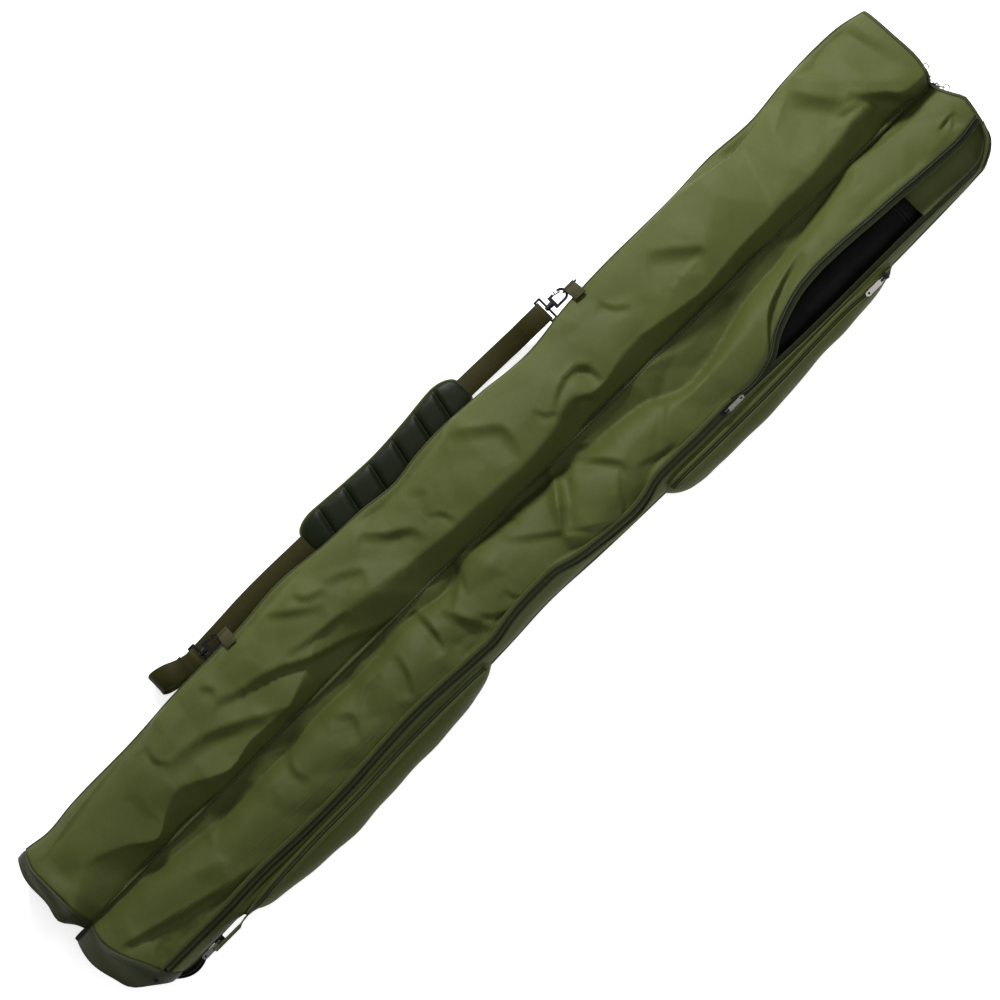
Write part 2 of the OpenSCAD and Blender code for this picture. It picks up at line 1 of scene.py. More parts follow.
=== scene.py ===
# %% [markdown]
# # A soft rod holdall, made step by step
# The real object is a padded bag for made-up fishing rods. Two long lobes of olive cloth meet in a
# sewn valley, a zip opens one lobe, two pockets sit on that side, and a padded strap clips to the other.
# The hard parts come from a CAD model, so this lesson is about cloth: shells, folds, zips and webbing.
# First we load the CAD model, which gives every size and place that we need.

# %% Load the model and keep its box
import math

import bpy
import numpy as np
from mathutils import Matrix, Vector, geometry


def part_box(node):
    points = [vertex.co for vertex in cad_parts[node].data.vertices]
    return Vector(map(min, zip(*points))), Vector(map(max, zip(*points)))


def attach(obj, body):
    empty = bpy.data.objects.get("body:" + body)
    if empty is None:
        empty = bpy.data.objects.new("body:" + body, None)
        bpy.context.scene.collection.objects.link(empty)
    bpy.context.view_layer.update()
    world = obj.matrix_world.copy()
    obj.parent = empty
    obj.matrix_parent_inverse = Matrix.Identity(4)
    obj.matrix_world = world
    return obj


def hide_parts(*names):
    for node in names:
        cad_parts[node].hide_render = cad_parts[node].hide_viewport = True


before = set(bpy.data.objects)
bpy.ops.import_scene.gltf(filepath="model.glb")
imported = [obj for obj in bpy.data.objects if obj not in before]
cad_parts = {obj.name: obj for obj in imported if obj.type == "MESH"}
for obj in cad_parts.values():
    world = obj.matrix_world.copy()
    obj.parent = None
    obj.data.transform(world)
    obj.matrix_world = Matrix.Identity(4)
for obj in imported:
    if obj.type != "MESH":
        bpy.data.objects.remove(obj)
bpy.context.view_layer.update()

# %% [markdown]
# A long object seen from straight above wants a long lens, so that the far end looks no smaller
# than the near one. The camera stands 4.5 m over the bag and is turned an eighth of a turn, which lays
# the bag along the picture's diagonal.

# %% Camera
LENS_MM = 100
VIEW_WIDTH = 1.623
VIEW_SHIFT = 0.0153
BAG_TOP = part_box("front_left_panel")[1].z
camera_data = bpy.data.cameras.new("camera")
camera_data.lens = LENS_MM
camera = bpy.data.objects.new("camera", camera_data)
camera_height = VIEW_WIDTH * LENS_MM / camera_data.sensor_width + BAG_TOP * 0.7
camera.location = (0, VIEW_SHIFT, camera_height)
camera.rotation_euler = (0, 0, math.radians(-45))
bpy.context.scene.collection.objects.link(camera)
bpy.context.scene.camera = camera
print("camera height", round(camera_height, 3))

# %% [markdown]
# Cloth shows its folds only when light comes across it. The main soft lamp stands on the strap's side and
# a little towards the top end. Two weaker lamps and the pale sky fill the shadows. The floor is a pale
# sheet lit a little from behind, as on a product table, so that shadows on it stay faint.

# %% Light and floor
def lamp(name, place, target, size, power):
    data = bpy.data.lights.new(name, "AREA")
    data.shape = "RECTANGLE"
    data.size, data.size_y = size
    data.energy = power
    obj = bpy.data.objects.new(name, data)
    obj.location = place
    obj.rotation_euler = (Vector(target) - Vector(place)).to_track_quat("-Z", "Y").to_euler()
    bpy.context.scene.collection.objects.link(obj)

lamp("key", (1.4, 2.45, 1.85), (0.35, 0, 0), (0.8, 0.6), 170)
lamp("side_fill", (0.6, -2.6, 2.3), (0.2, 0, 0), (1.8, 1.4), 26)
lamp("top_fill", (0.5, 0.1, 3.9), (0.2, 0, 0), (2.4, 2.4), 34)
floor_mesh = bpy.data.meshes.new("floor")
FLOOR_HALF = 12
FLOOR_Z = -0.0005
floor_corners = [(x * FLOOR_HALF, y * FLOOR_HALF, FLOOR_Z) for x, y in ((-1, -1), (1, -1), (1, 1), (-1, 1))]
floor_mesh.from_pydata(floor_corners, [], [(0, 1, 2, 3)])
floor = bpy.data.objects.new("floor", floor_mesh)
bpy.context.scene.collection.objects.link(floor)
floor_sheet = bpy.data.materials.new("lit_paper")
floor_sheet.use_nodes = True
floor_shader = floor_sheet.node_tree.nodes["Principled BSDF"]
floor_shader.inputs["Base Color"].default_value = (0.86, 0.86, 0.86, 1)
floor_shader.inputs["Roughness"].default_value = 0.9
floor_shader.inputs["Emission Color"].default_value = (1, 1, 1, 1)
floor_shader.inputs["Emission Strength"].default_value = 0.66
floor_mesh.materials.append(floor_sheet)
world = bpy.data.worlds.new("studio")
world.use_nodes = True
world.node_tree.nodes["Background"].inputs["Color"].default_value = (1, 1, 1, 1)
world.node_tree.nodes["Background"].inputs["Strength"].default_value = 0.26
bpy.context.scene.world = world
bpy.context.scene.view_settings.view_transform = "Standard"

# %% [markdown]
# Every finish is built from nodes. A small helper makes a Principled material, and others add noise,
# a weave or a bump to it. Values that stay the same all over go straight into the shader's sockets.

# %% Material helpers
def finish_of(name, colour, roughness, **sockets):
    """A Principled material; the sockets are named in words, with spaces as underscores."""
    material = bpy.data.materials.new(name)
    material.use_nodes = True
    shader = material.node_tree.nodes["Principled BSDF"]
    shader.inputs["Base Color"].default_value = (*colour, 1)
    shader.inputs["Roughness"].default_value = roughness
    for socket, value in sockets.items():
        shader.inputs[socket.replace("_", " ")].default_value = value
    material.diffuse_color = (*colour, 1)
    return material

def node(material, kind, **inputs):
    made = material.node_tree.nodes.new(kind)
    for key, value in inputs.items():
        if hasattr(made, key):
            setattr(made, key, value)
        else:
            made.inputs[key.replace("_", " ")].default_value = value
    return made

def link(material, source, target):
    material.node_tree.links.new(source, target)

def surface_coordinates(material, source="Object"):
    return node(material, "ShaderNodeTexCoord").outputs[source]

def noise(material, scale, detail=3.0, roughness=0.55, source="Object"):
    made = node(material, "ShaderNodeTexNoise", Scale=scale, Detail=detail, Roughness=roughness)
    link(material, surface_coordinates(material, source), made.inputs["Vector"])
    return made.outputs["Fac"]

def mottle(material, dark, light, broad=2.2, fine=260.0):
    """Colour that drifts slowly over the cloth, with a finer fleck from its yarns."""
    ramp = node(material, "ShaderNodeValToRGB")
    ramp.color_ramp.elements[0].position = 0.3
    ramp.color_ramp.elements[1].position = 0.72
    ramp.color_ramp.elements[0].color = (*dark, 1)
    ramp.color_ramp.elements[1].color = (*light, 1)
    mix = node(material, "ShaderNodeMix", data_type="FLOAT")
    mix.inputs[0].default_value = 0.3
    link(material, noise(material, broad, 4.0), mix.inputs[2])
    link(material, noise(material, fine, 2.0), mix.inputs[3])
    link(material, mix.outputs[0], ramp.inputs["Fac"])
    shader = material.node_tree.nodes["Principled BSDF"]
    link(material, ramp.outputs["Color"], shader.inputs["Base Color"])

def threads(material, pitch, direction, source="UV", distortion=0.0):
    """A row of threads across the surface, as a wave of that pitch in metres."""
    wave = node(material, "ShaderNodeTexWave", bands_direction=direction, Distortion=distortion)
    wave.inputs["Scale"].default_value = 1 / (pitch * 3.1831)
    link(material, surface_coordinates(material, source), wave.inputs["Vector"])
    return wave.outputs["Fac"]

def combine(material, first, second, operation="MULTIPLY"):
    made = node(material, "ShaderNodeMath", operation=operation)
    link(material, first, made.inputs[0])
    link(material, second, made.inputs[1])
    return made.outputs[0]

def bump(material, height, strength, distance):
    made = node(material, "ShaderNodeBump", Strength=strength, Distance=distance)
    link(material, height, made.inputs["Height"])
    shader = material.node_tree.nodes["Principled BSDF"]
    old = shader.inputs["Normal"].links
    if old:
        link(material, old[0].from_socket, made.inputs["Normal"])
    link(material, made.outputs["Normal"], shader.inputs["Normal"])

def uneven_gloss(material, low, high, scale):
    spread = node(material, "ShaderNodeMapRange", To_Min=low, To_Max=high)
    link(material, noise(material, scale), spread.inputs["Value"])
    shader = material.node_tree.nodes["Principled BSDF"]
    link(material, spread.outputs["Result"], shader.inputs["Roughness"])

# %% [markdown]
# The bag's cloth is a plain weave of thick polyester yarn with a slight satin gleam. Two waves of
# threads crossed at right angles make the weave, and a slower noise makes the cloth a little uneven.
# The weave reads the piece's own UV map, which is in metres, so it follows the folds.

# %% Cloth finishes
def woven(name, dark, light, pitch, gleam, **sockets):
    material = finish_of(name, light, gleam, **sockets)
    mottle(material, dark, light)
    uneven_gloss(material, gleam - 0.05, gleam + 0.08, 14)
    bump(material, noise(material, 70, 4.0), 0.35, 0.0012)
    warp = threads(material, pitch, "X")
    weft = threads(material, pitch, "Y")
    bump(material, combine(material, warp, weft), 0.35, pitch * 0.25)
    return material

OLIVE = woven("olive_cloth", (0.041, 0.0495, 0.0105), (0.056, 0.0665, 0.0160), 0.0011, 0.55,
              Specular_IOR_Level=0.12, Sheen_Weight=0.02, Sheen_Roughness=0.4)
COATED = woven("coated_base_cloth", (0.0205, 0.0235, 0.0112), (0.0280, 0.0315, 0.0160), 0.0014, 0.5,
               Specular_IOR_Level=0.14)
LINING = woven("nylon_lining", (0.066, 0.076, 0.021), (0.084, 0.095, 0.028), 0.0006, 0.5,
               Specular_IOR_Level=0.15)
FOAM_BLACK = woven("black_foam_knit", (0.0024, 0.0023, 0.0025), (0.0042, 0.0040, 0.0044), 0.0012, 0.7,
                   Specular_IOR_Level=0.08)
TAPE = woven("zip_tape", (0.0065, 0.0090, 0.0032), (0.0135, 0.0180, 0.0068), 0.0008, 0.6,
             Specular_IOR_Level=0.12)
BINDING = woven("ribbed_binding", (0.020, 0.024, 0.007), (0.040, 0.046, 0.014), 0.0009, 0.6,
                Specular_IOR_Level=0.12)
WEBBING = woven("ribbed_webbing", (0.0160, 0.0142, 0.0024), (0.0265, 0.0236, 0.0042), 0.0020, 0.55,
                Specular_IOR_Level=0.12)
PAD_CLOTH = woven("pad_mesh_cloth", (0.0036, 0.0058, 0.0016), (0.0072, 0.0108, 0.0032), 0.0015, 0.4,
                  Specular_IOR_Level=0.12)
print("cloth finishes made")

# %% [markdown]
# The metal parts keep their CAD shapes and only need a finish. Gunmetal plating is dark and satin, and
# nickel is pale; fine scratches and finger marks change how sharp both reflections are.

# %% Metal finishes on the CAD parts
def plated(name, colour, low, high, wear):
    material = finish_of(name, colour, low, Metallic=1.0)
    uneven_gloss(material, low, high, 180)
    mottle(material, tuple(c * wear for c in colour), colour, 30, 900)
    bump(material, noise(material, 1400, 2.0), 0.12, 0.0001)
    return material

GUNMETAL = plated("gunmetal_plating", (0.022, 0.022, 0.024), 0.34, 0.50, 0.7)
NICKEL = plated("nickel_plating", (0.36, 0.35, 0.32), 0.18, 0.34, 0.85)
METAL_PARTS = {
    GUNMETAL: ("main_slider", "top_left_slider", "top_right_slider", "upper_pocket_slider",
               "lower_pocket_slider", "upper_d_ring", "lower_d_ring", "upper_strap_ring",
               "lower_strap_ring", "strap_adjuster", "upper_snap_hook", "lower_snap_hook",
               "upper_snap_gate", "lower_snap_gate", "main_zip_stop"),
    NICKEL: ("top_zip_stops", "main_puller", "top_left_link", "top_left_ring",
             "top_right_link", "top_right_ring", "upper_pocket_puller", "lower_pocket_puller")}
for metal, parts in METAL_PARTS.items():
    for part in parts:
        for material_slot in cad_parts[part].material_slots:
            material_slot.material = metal
print("metal finished on", sum(len(parts) for parts in METAL_PARTS.values()), "parts")

# %% [markdown]
# Cloth surfaces are easiest as grids of points: rows along the bag, columns across it. This helper
# turns such a grid into a mesh and gives it a UV map measured in metres along and across the cloth.

# %% Grid surfaces
def grid_object(name, points, material, around=False, caps=False):
    """A surface through points of shape (rows, columns, 3); around joins the last column to the first."""
    rows, columns = points.shape[:2]
    steps_u = np.linalg.norm(np.diff(points, axis=0), axis=2).mean(axis=1)
    steps_v = np.linalg.norm(np.diff(points, axis=1), axis=2).mean(axis=0)
    along = np.concatenate([[0], np.cumsum(steps_u)])
    across = np.concatenate([[0], np.cumsum(steps_v)])
    closing = float(np.linalg.norm(points[:, 0] - points[:, -1], axis=1).mean())
    faces, uvs = [], []
    for i in range(rows - 1):
        for j in range(columns if around else columns - 1):
            k = (j + 1) % columns
            faces.append((i * columns + j, (i + 1) * columns + j, (i + 1) * columns + k, i * columns + k))
            right = across[j] + closing if k == 0 else across[k]
            uvs += [(along[i], across[j]), (along[i + 1], across[j]),
                    (along[i + 1], right), (along[i], right)]
    if caps:
        for row, turn in ((0, 1), (rows - 1, -1)):
            faces.append(tuple(row * columns + j for j in range(columns))[::turn])
            uvs += [(across[j], 0.0) for j in range(columns)]
    mesh = bpy.data.meshes.new(name)
    mesh.from_pydata(points.reshape(-1, 3).tolist(), [], faces)
    mesh.uv_layers.new(name="cloth").data.foreach_set("uv", np.array(uvs, np.float32).ravel())
    mesh.shade_smooth()
    mesh.materials.append(material)
    obj = bpy.data.objects.new(name, mesh)
    bpy.context.scene.collection.objects.link(obj)
    return obj

def thicken(obj, thickness, inner=None):
    """Gives a sheet its wall, inwards from the faces' outer side, and makes the wall plain mesh."""
    wall = obj.modifiers.new("wall", "SOLIDIFY")
    wall.thickness = thickness
    wall.offset = -1
    if inner is not None:
        obj.data.materials.append(inner)
        wall.material_offset = 1
        wall.material_offset_rim = 0
    return plain(obj)

def plain(obj):
    """Turns what the modifiers make into the object's own mesh."""
    evaluated = obj.evaluated_get(bpy.context.evaluated_depsgraph_get())
    mesh = bpy.data.meshes.new_from_object(evaluated)
    obj.modifiers.clear()
    obj.data = mesh
    mesh.name = obj.name
    return obj

def stands_for(obj, body, slot, *nodes):
    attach(obj, body)
    if nodes:
        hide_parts(*nodes)
    return obj

# %% [markdown]
# Tapes, webbing, cords of piping and bindings are all one section swept along a path. The path carries
# an "up" direction at each point, so a tape can lie flat on a surface that turns.

# %% Sweeps
def unit(vectors):
    return vectors / np.maximum(np.linalg.norm(vectors, axis=-1, keepdims=True), 1e-12)

def flat_section(width, thickness, corners=3):
    """A flat strip's outline, with rounded edges, as (across, up) pairs."""
    r = thickness / 2
    turns = [math.pi / 2 - math.pi * k / corners for k in range(corners + 1)]
    right = [(width / 2 - r + r * math.cos(t), r * math.sin(t)) for t in turns]
    return right + [(-a, -b) for a, b in right]

def round_section(radius, sides=10):
    return [(radius * math.cos(2 * math.pi * k / sides), -radius * math.sin(2 * math.pi * k / sides))
            for k in range(sides)]

def sweep(name, path, ups, section, material, width_scale=None):
    path, ups = np.asarray(path, float), np.asarray(ups, float)
    if ups.ndim == 1:
        ups = np.repeat(ups[None], len(path), axis=0)
    forward = unit(np.gradient(path, axis=0))
    side = unit(np.cross(forward, ups))
    up = np.cross(side, forward)
    scale = np.ones(len(path)) if width_scale is None else np.asarray(width_scale)
    outline = np.array(section)
    points = (path[:, None] + side[:, None] * outline[None, :, :1] * scale[:, None, None]
              + up[:, None] * outline[None, :, 1:])
    return grid_object(name, points[:, ::-1], material, around=True, caps=True)

def joined(name, pieces):
    """Joins pieces that share a body into one object."""
    bpy.context.view_layer.update()
    with bpy.context.temp_override(active_object=pieces[0], selected_editable_objects=pieces):
        bpy.ops.object.join()
    pieces[0].name = pieces[0].data.name = name
    return pieces[0]

# %% [markdown]
# Curves for the bag's outline are a few knots with a smooth line through them. The same helper gives
# the bag's width, the zip's gentle wander and the ridges of the big folds.

# %% Smooth lines through knots
def smooth_line(knots, x):
    kx, ky = np.array(knots, float).T
    slope = np.gradient(ky, kx)
    i = np.clip(np.searchsorted(kx, x) - 1, 0, len(kx) - 2)
    h = kx[i + 1] - kx[i]
    t = np.clip((x - kx[i]) / h, 0, 1)
    return (ky[i] * (1 + 2 * t) * (1 - t) ** 2 + ky[i + 1] * t * t * (3 - 2 * t)
            + h * slope[i] * t * (1 - t) ** 2 - h * slope[i + 1] * t * t * (1 - t))

def run_along(points):
    """The length from a line's first point to each of its points."""
    return np.concatenate([[0], np.cumsum(np.linalg.norm(np.diff(points, axis=0), axis=1))])

def through_knots(knots, run, places):
    """A smooth line through knots that stand at those run lengths, read at the given places."""
    return np.stack([smooth_line(np.column_stack([run, axis]), places) for axis in knots.T], axis=1)

def points_of(x, y, z):
    """Points of a line or a grid. A single number holds for every point."""
    return np.stack(np.broadcast_arrays(x, y, z), axis=-1)

def step(x, start, end):
    t = np.clip((x - start) / (end - start), 0, 1)
    return t * t * (3 - 2 * t)

def soft_min(a, b, blend):
    return -blend * np.logaddexp(-a / blend, -b / blend)

# %% [markdown]
# The bag's cross-section is two lobes that meet in a valley. Each lobe rises from the side seam, where
# the bag is widest, rounds over the top and drops into the valley. One function gives the point at a
# share t of the way from the side seam to the valley, for either side of the bag.

# %% The lobes' section
HALF_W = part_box("back_panel")[1].y
SEAM_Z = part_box("back_panel")[1].z
TOP_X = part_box("back_panel")[1].x
CAP_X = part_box("back_panel")[0].x
LOBE_Y = HALF_W / 2
VALLEY_Z = 0.073
WALL = 0.004
MM = 0.001

LEFT_EDGE = [(-0.99, 0.158), (-0.95, 0.158), (-0.905, 0.152), (-0.85, 0.157), (-0.7, 0.160), (-0.6, 0.166),
             (-0.45, 0.167), (-0.35, 0.174), (-0.25, 0.165), (-0.17, 0.162), (-0.1, 0.155), (-0.05, 0.162),
             (0.0, 0.165), (0.1, 0.160), (0.2, 0.151), (0.3, 0.162), (0.36, 0.165), (0.56, 0.165),
             (0.63, 0.168), (0.73, 0.162), (0.8, 0.169), (0.88, 0.172), (0.94, 0.169), (0.99, 0.159)]
RIGHT_EDGE = [(-0.99, 0.160), (-0.9, 0.165), (-0.8, 0.163), (-0.3, 0.165), (-0.15, 0.161), (-0.06, 0.157),
              (0.05, 0.162), (0.2, 0.166), (0.6, 0.166), (0.85, 0.163), (0.93, 0.161), (0.99, 0.160)]

LEFT_RIDGE = [(-0.96, 0.024), (-0.925, 0.050), (-0.885, 0.066), (-0.83, 0.046), (-0.775, 0.014),
              (-0.74, 0.034), (-0.70, 0.048), (-0.65, 0.026), (-0.62, 0.012), (-0.56, 0.020), (-0.48, 0.016),
              (-0.42, 0.036), (-0.35, 0.068), (-0.30, 0.061), (-0.25, 0.054), (-0.15, 0.039), (0.0, 0.030),
              (0.08, 0.026), (0.14, 0.032), (0.2, 0.045), (0.235, 0.026), (0.3, 0.036), (0.34, 0.038),
              (0.38, 0.032), (0.46, 0.018), (0.55, 0.024), (0.65, 0.027), (0.75, 0.030), (0.80, 0.037),
              (0.885, 0.040), (0.93, 0.018), (0.99, 0.010)]

RIGHT_RIDGE = [(-0.96, 0.006), (-0.88, 0.012), (-0.8, 0.022), (-0.7, 0.035), (-0.55, 0.038), (-0.45, 0.030),
               (-0.35, 0.030), (-0.25, 0.020), (-0.17, 0.034), (-0.1, 0.016), (0.0, 0.012), (0.06, 0.016),
               (0.12, 0.028), (0.2, 0.036), (0.28, 0.050), (0.34, 0.086), (0.4, 0.082), (0.45, 0.067),
               (0.5, 0.050), (0.6, 0.038), (0.7, 0.018), (0.76, 0.007), (0.99, 0.006)]

def half_width(x, side):
    return smooth_line(LEFT_EDGE if side > 0 else RIGHT_EDGE, x)

def lobe_point(x, t, side):
    """The surface of the lobe on that side (+1 strap side, -1 pocket side), with no folds in it."""
    width = half_width(x, side)
    outer = t < 0.5
    y = LOBE_Y + np.where(outer, width - LOBE_Y, LOBE_Y) * np.cos(np.pi * t)
    base = np.where(outer, SEAM_Z, VALLEY_Z)
    rise = np.abs(np.sin(np.pi * t)) ** np.where(outer, 1.0, 0.8)
    if side < 0:
        floor_end = 0.8 * smooth_line(RIGHT_RIDGE, x)
        climb = np.clip((y - floor_end) / (LOBE_Y - floor_end), 0, 1)
        dip = -0.05 * np.sin(np.pi / 2 * np.clip(y / floor_end, 0, 1)) ** 2
        inner_rise = dip + (1 - dip) * (1 - (1 - climb) ** 2.2) ** (1 / 1.5)
        rise = np.where(outer, rise, inner_rise)
    if side > 0:
        crest = np.clip(smooth_line(LEFT_RIDGE, x) + 0.004, 0.014, 0.085)
        outer = y > crest
        base = np.where(outer, SEAM_Z, VALLEY_Z)
        off = np.clip(np.where(outer, (y - crest) / (width - crest), (crest - y) / crest), 0, 1)
        rise = np.where(outer, (1 - off ** 1.5) ** (1 / 1.9), (1 - off ** 1.15) ** (1 / 1.05))
    z = base + (BAG_TOP - 0.001 - base) * rise
    return np.stack([x, side * y, z], axis=-1)

def normals_of(points):
    """Outward normals of a grid of points whose rows run along +X."""
    du, dv = np.gradient(points, axis=0), np.gradient(points, axis=1)
    return unit(np.cross(dv, du))

# %% [markdown]
# Folds are what make cloth look like cloth. A fold here runs from one point of the plan to another,
# is steep on one side and gentle on the other, and fades at its ends. Between the folds, stiff padded
# cloth buckles into flat plates that meet in creases, which a net of tilted triangles gives.

# %% Folds and facets
FOLD_DEPTH, FOLD_WIDTH = 1.5, 1.1
SWELL = 0.28

def fold(x, y, knots, depth, width):
    """A step in the cloth along a line: crisp on the line, falling on its right, then slow to recover."""
    knots = np.array(knots, float) * MM
    depth, width = depth * FOLD_DEPTH * MM, width * FOLD_WIDTH * MM
    run = run_along(knots)
    line = through_knots(knots, run, np.linspace(0, run[-1], 40))
    sunk = np.zeros_like(x)
    low, high = line.min(0) - 6 * width, line.max(0) + 6 * width
    near = (x > low[0]) & (x < high[0]) & (y > low[1]) & (y < high[1])
    here = np.stack([x[near], y[near]], axis=-1)
    start, leg = line[:-1], np.diff(line, axis=0)
    share = ((here[:, None] - start) * leg).sum(-1) / (leg ** 2).sum(-1)
    foot = start + np.clip(share, 0, 1)[..., None] * leg
    gap = np.linalg.norm(here[:, None] - foot, axis=-1)
    nearest = gap.argmin(axis=1)
    pick = np.arange(len(here))
    offset = here - foot[pick, nearest]
    right = offset[:, 0] * leg[nearest, 1] - offset[:, 1] * leg[nearest, 0] > 0
    across = np.where(right, 1, -1) * gap[pick, nearest] / width
    along = (nearest + np.clip(share[pick, nearest], 0, 1)) / len(leg)
    before = -SWELL * np.exp(np.minimum(across, 0) * 1.6)
    falling = -SWELL + (1 + SWELL) * np.sin(np.pi / 2 * np.clip(across, 0, 1))
    after = np.exp(-np.clip(across - 1, 0, None) / 1.7)
    profile = np.where(across < 0, before, np.where(across < 1, falling, after))
    past_end = np.clip(1 - gap[pick, nearest] / (7 * width), 0, 1)
    sunk[near] = depth * np.sin(np.pi * along) ** 0.6 * profile * past_end
    return sunk

def folds(x, y, list_of_folds):
    """How far the cloth sinks at each point of the plan under all its folds together."""
    return sum(fold(x, y, knots, depth, width) for knots, depth, width in list_of_folds)

def facets(x, y, size, height, seed):
    """Flat plates that meet in creases: random heights over a net of triangles, softened a little."""
    rng = np.random.default_rng(seed)
    gx, gy = np.meshgrid(np.arange(-1.1, 1.1, size), np.arange(-0.24, 0.24, size * 0.8), indexing="ij")
    nodes = np.stack([gx, gy], axis=-1).reshape(-1, 2)
    nodes = nodes + rng.uniform(-0.4, 0.4, nodes.shape) * size
    heights = rng.uniform(-0.6, 1, len(nodes)) * height
    net = geometry.delaunay_2d_cdt([Vector(n) for n in nodes], [], [], 0, 1e-6)
    corners, _, triangles, origin, _, _ = net
    sunk = np.zeros_like(x)
    for triangle in triangles:
        (ax, ay), (bx, by), (cx, cy) = (corners[k] for k in triangle)
        ha, hb, hc = (heights[origin[k][0]] for k in triangle)
        whole = (bx - ax) * (cy - ay) - (cx - ax) * (by - ay)
        near = ((x >= min(ax, bx, cx)) & (x <= max(ax, bx, cx))
                & (y >= min(ay, by, cy)) & (y <= max(ay, by, cy)))
        px, py = x[near], y[near]
        u = ((px - ax) * (cy - ay) - (cx - ax) * (py - ay)) / whole
        v = ((bx - ax) * (py - ay) - (px - ax) * (by - ay)) / whole
        inside = (u >= 0) & (v >= 0) & (u + v <= 1)
        values = sunk[near]
        values[inside] = (ha + u * (hb - ha) + v * (hc - ha))[inside]
        sunk[near] = values
    padded = np.pad(sunk, 1, mode="edge")
    return (padded[1:-1, 1:-1] * 2 + padded[:-2, 1:-1] + padded[2:, 1:-1]
            + padded[1:-1, :-2] + padded[1:-1, 2:]) / 6

# %% [markdown]
# Seen from above, neither end of the bag is straight. The base ends of the two lobes stand at different
# places, and the pocket side's top corner is rounded. A warp that acts only near the ends moves every
# piece of the shell alike, so pieces that meet still meet.

# %% The ends' shape in plan
TOP_END = [(-0.166, 0.925), (-0.158, 0.940), (-0.148, 0.957), (-0.135, 0.970), (-0.11, 0.978), (-0.09, 0.982),
           (-0.07, 0.986), (-0.055, 0.988), (-0.04, 0.981), (-0.02, 0.973), (0.01, 0.972), (0.04, 0.978),
           (0.1, 0.979), (0.14, 0.980), (0.17, 0.981)]
LEFT_SEAM = [(0.0, -0.955), (0.05, -0.954), (0.1, -0.957), (0.13, -0.958), (0.15, -0.952), (0.17, -0.945)]
LEFT_BASE = [(0.0, -0.970), (0.013, -0.972), (0.035, -0.983), (0.07, -0.978), (0.13, -0.978), (0.163, -0.967)]
RIGHT_SEAM = [(-0.165, -0.905), (-0.14, -0.921), (-0.11, -0.932), (-0.08, -0.946), (-0.04, -0.958),
              (0.0, -0.957)]
RIGHT_BASE = [(-0.165, -0.930), (-0.143, -0.953), (-0.125, -0.974), (-0.09, -0.986), (-0.05, -0.995),
              (0.0, -0.993)]
WARP_BASE_X = -0.88
WARP_TOP_X = 0.90

def warped(points, side):
    """Moves points near either end of the shell to where that end's outline stands."""
    x, y = points[..., 0], points[..., 1]
    seam = smooth_line(LEFT_SEAM if side > 0 else RIGHT_SEAM, y)
    near_base = np.clip((WARP_BASE_X - x) / (WARP_BASE_X - CAP_X), 0, 1)
    near_top = np.clip((x - WARP_TOP_X) / (TOP_X - WARP_TOP_X), 0, 1)
    points = points.copy()
    points[..., 0] = x + near_base * (seam - CAP_X) + near_top * (smooth_line(TOP_END, y) - TOP_X)
    return points

def plan_share(x, y, side):
    """The share t at which the lobe's section passes over the plan distance y from the valley."""
    width = half_width(x, side)
    away = np.abs(y)
    cosine = np.where(away > LOBE_Y, (away - LOBE_Y) / (width - LOBE_Y), (away - LOBE_Y) / LOBE_Y)
    return np.arccos(np.clip(cosine, -1, 1)) / np.pi

# %% [markdown]
# The left lobe is one padded panel from the side seam to the valley. Its big folds are placed one by one:
# long ones that run from the valley towards the base, where the strap's weight pulls the cloth, and
# soft dents over the empty middle. Along the valley the cloth drops steeply below a wandering ridge.

# %% The left lobe
LEFT_FOLDS = [
    ([(-700, 96), (-650, 93), (-600, 84), (-560, 66), (-520, 45), (-480, 20), (-462, 4)], 10, 24),
    ([(-560, 114), (-530, 101), (-480, 89), (-440, 76), (-400, 54), (-340, 34), (-300, 18), (-250, 4)],
     9, 13),
    ([(-425, 86), (-380, 76), (-330, 68), (-300, 66)], 5, 9),
    ([(-684, 136), (-690, 112), (-676, 94)], 4, 9),
    ([(-560, 150), (-545, 128), (-550, 112)], 4, 12),
    ([(-400, 158), (-380, 140), (-340, 112), (-320, 100)], 5, 14),
    ([(-345, 150), (-335, 130), (-300, 118)], 4, 10),
    ([(-300, 128), (-260, 112), (-235, 90), (-250, 70)], 4, 14),
    ([(-200, 142), (-170, 112), (-130, 80), (-124, 56)], 7, 16),
    ([(-100, 84), (-78, 64), (-72, 40)], 4, 7),
    ([(-95, 138), (-75, 112), (-100, 84)], 3, 14),
    ([(15, 154), (58, 124), (88, 96), (85, 60), (72, 36)], 6, 20),
    ([(144, 80), (150, 62), (166, 54)], 4, 7),
    ([(163, 60), (190, 76), (235, 84), (264, 68)], 6, 9),
    ([(242, 84), (256, 60), (258, 36)], 6, 11),
    ([(198, 46), (215, 36), (230, 20)], 6, 7),
    ([(342, 132), (352, 108), (374, 90)], 4, 8),
    ([(450, 134), (470, 118), (500, 92), (520, 70), (498, 38)], 7, 22),
    ([(800, 158), (826, 112), (856, 74)], 7, 26),
    ([(818, 70), (845, 64), (864, 60)], 4, 6),
    ([(862, 84), (880, 62), (905, 40), (930, 16), (960, 3)], 10, 13),
    ([(-950, 127), (-850, 143), (-735, 157)], 2.5, 5),
    ([(736, 160), (650, 150), (556, 158)], 4, 6)]

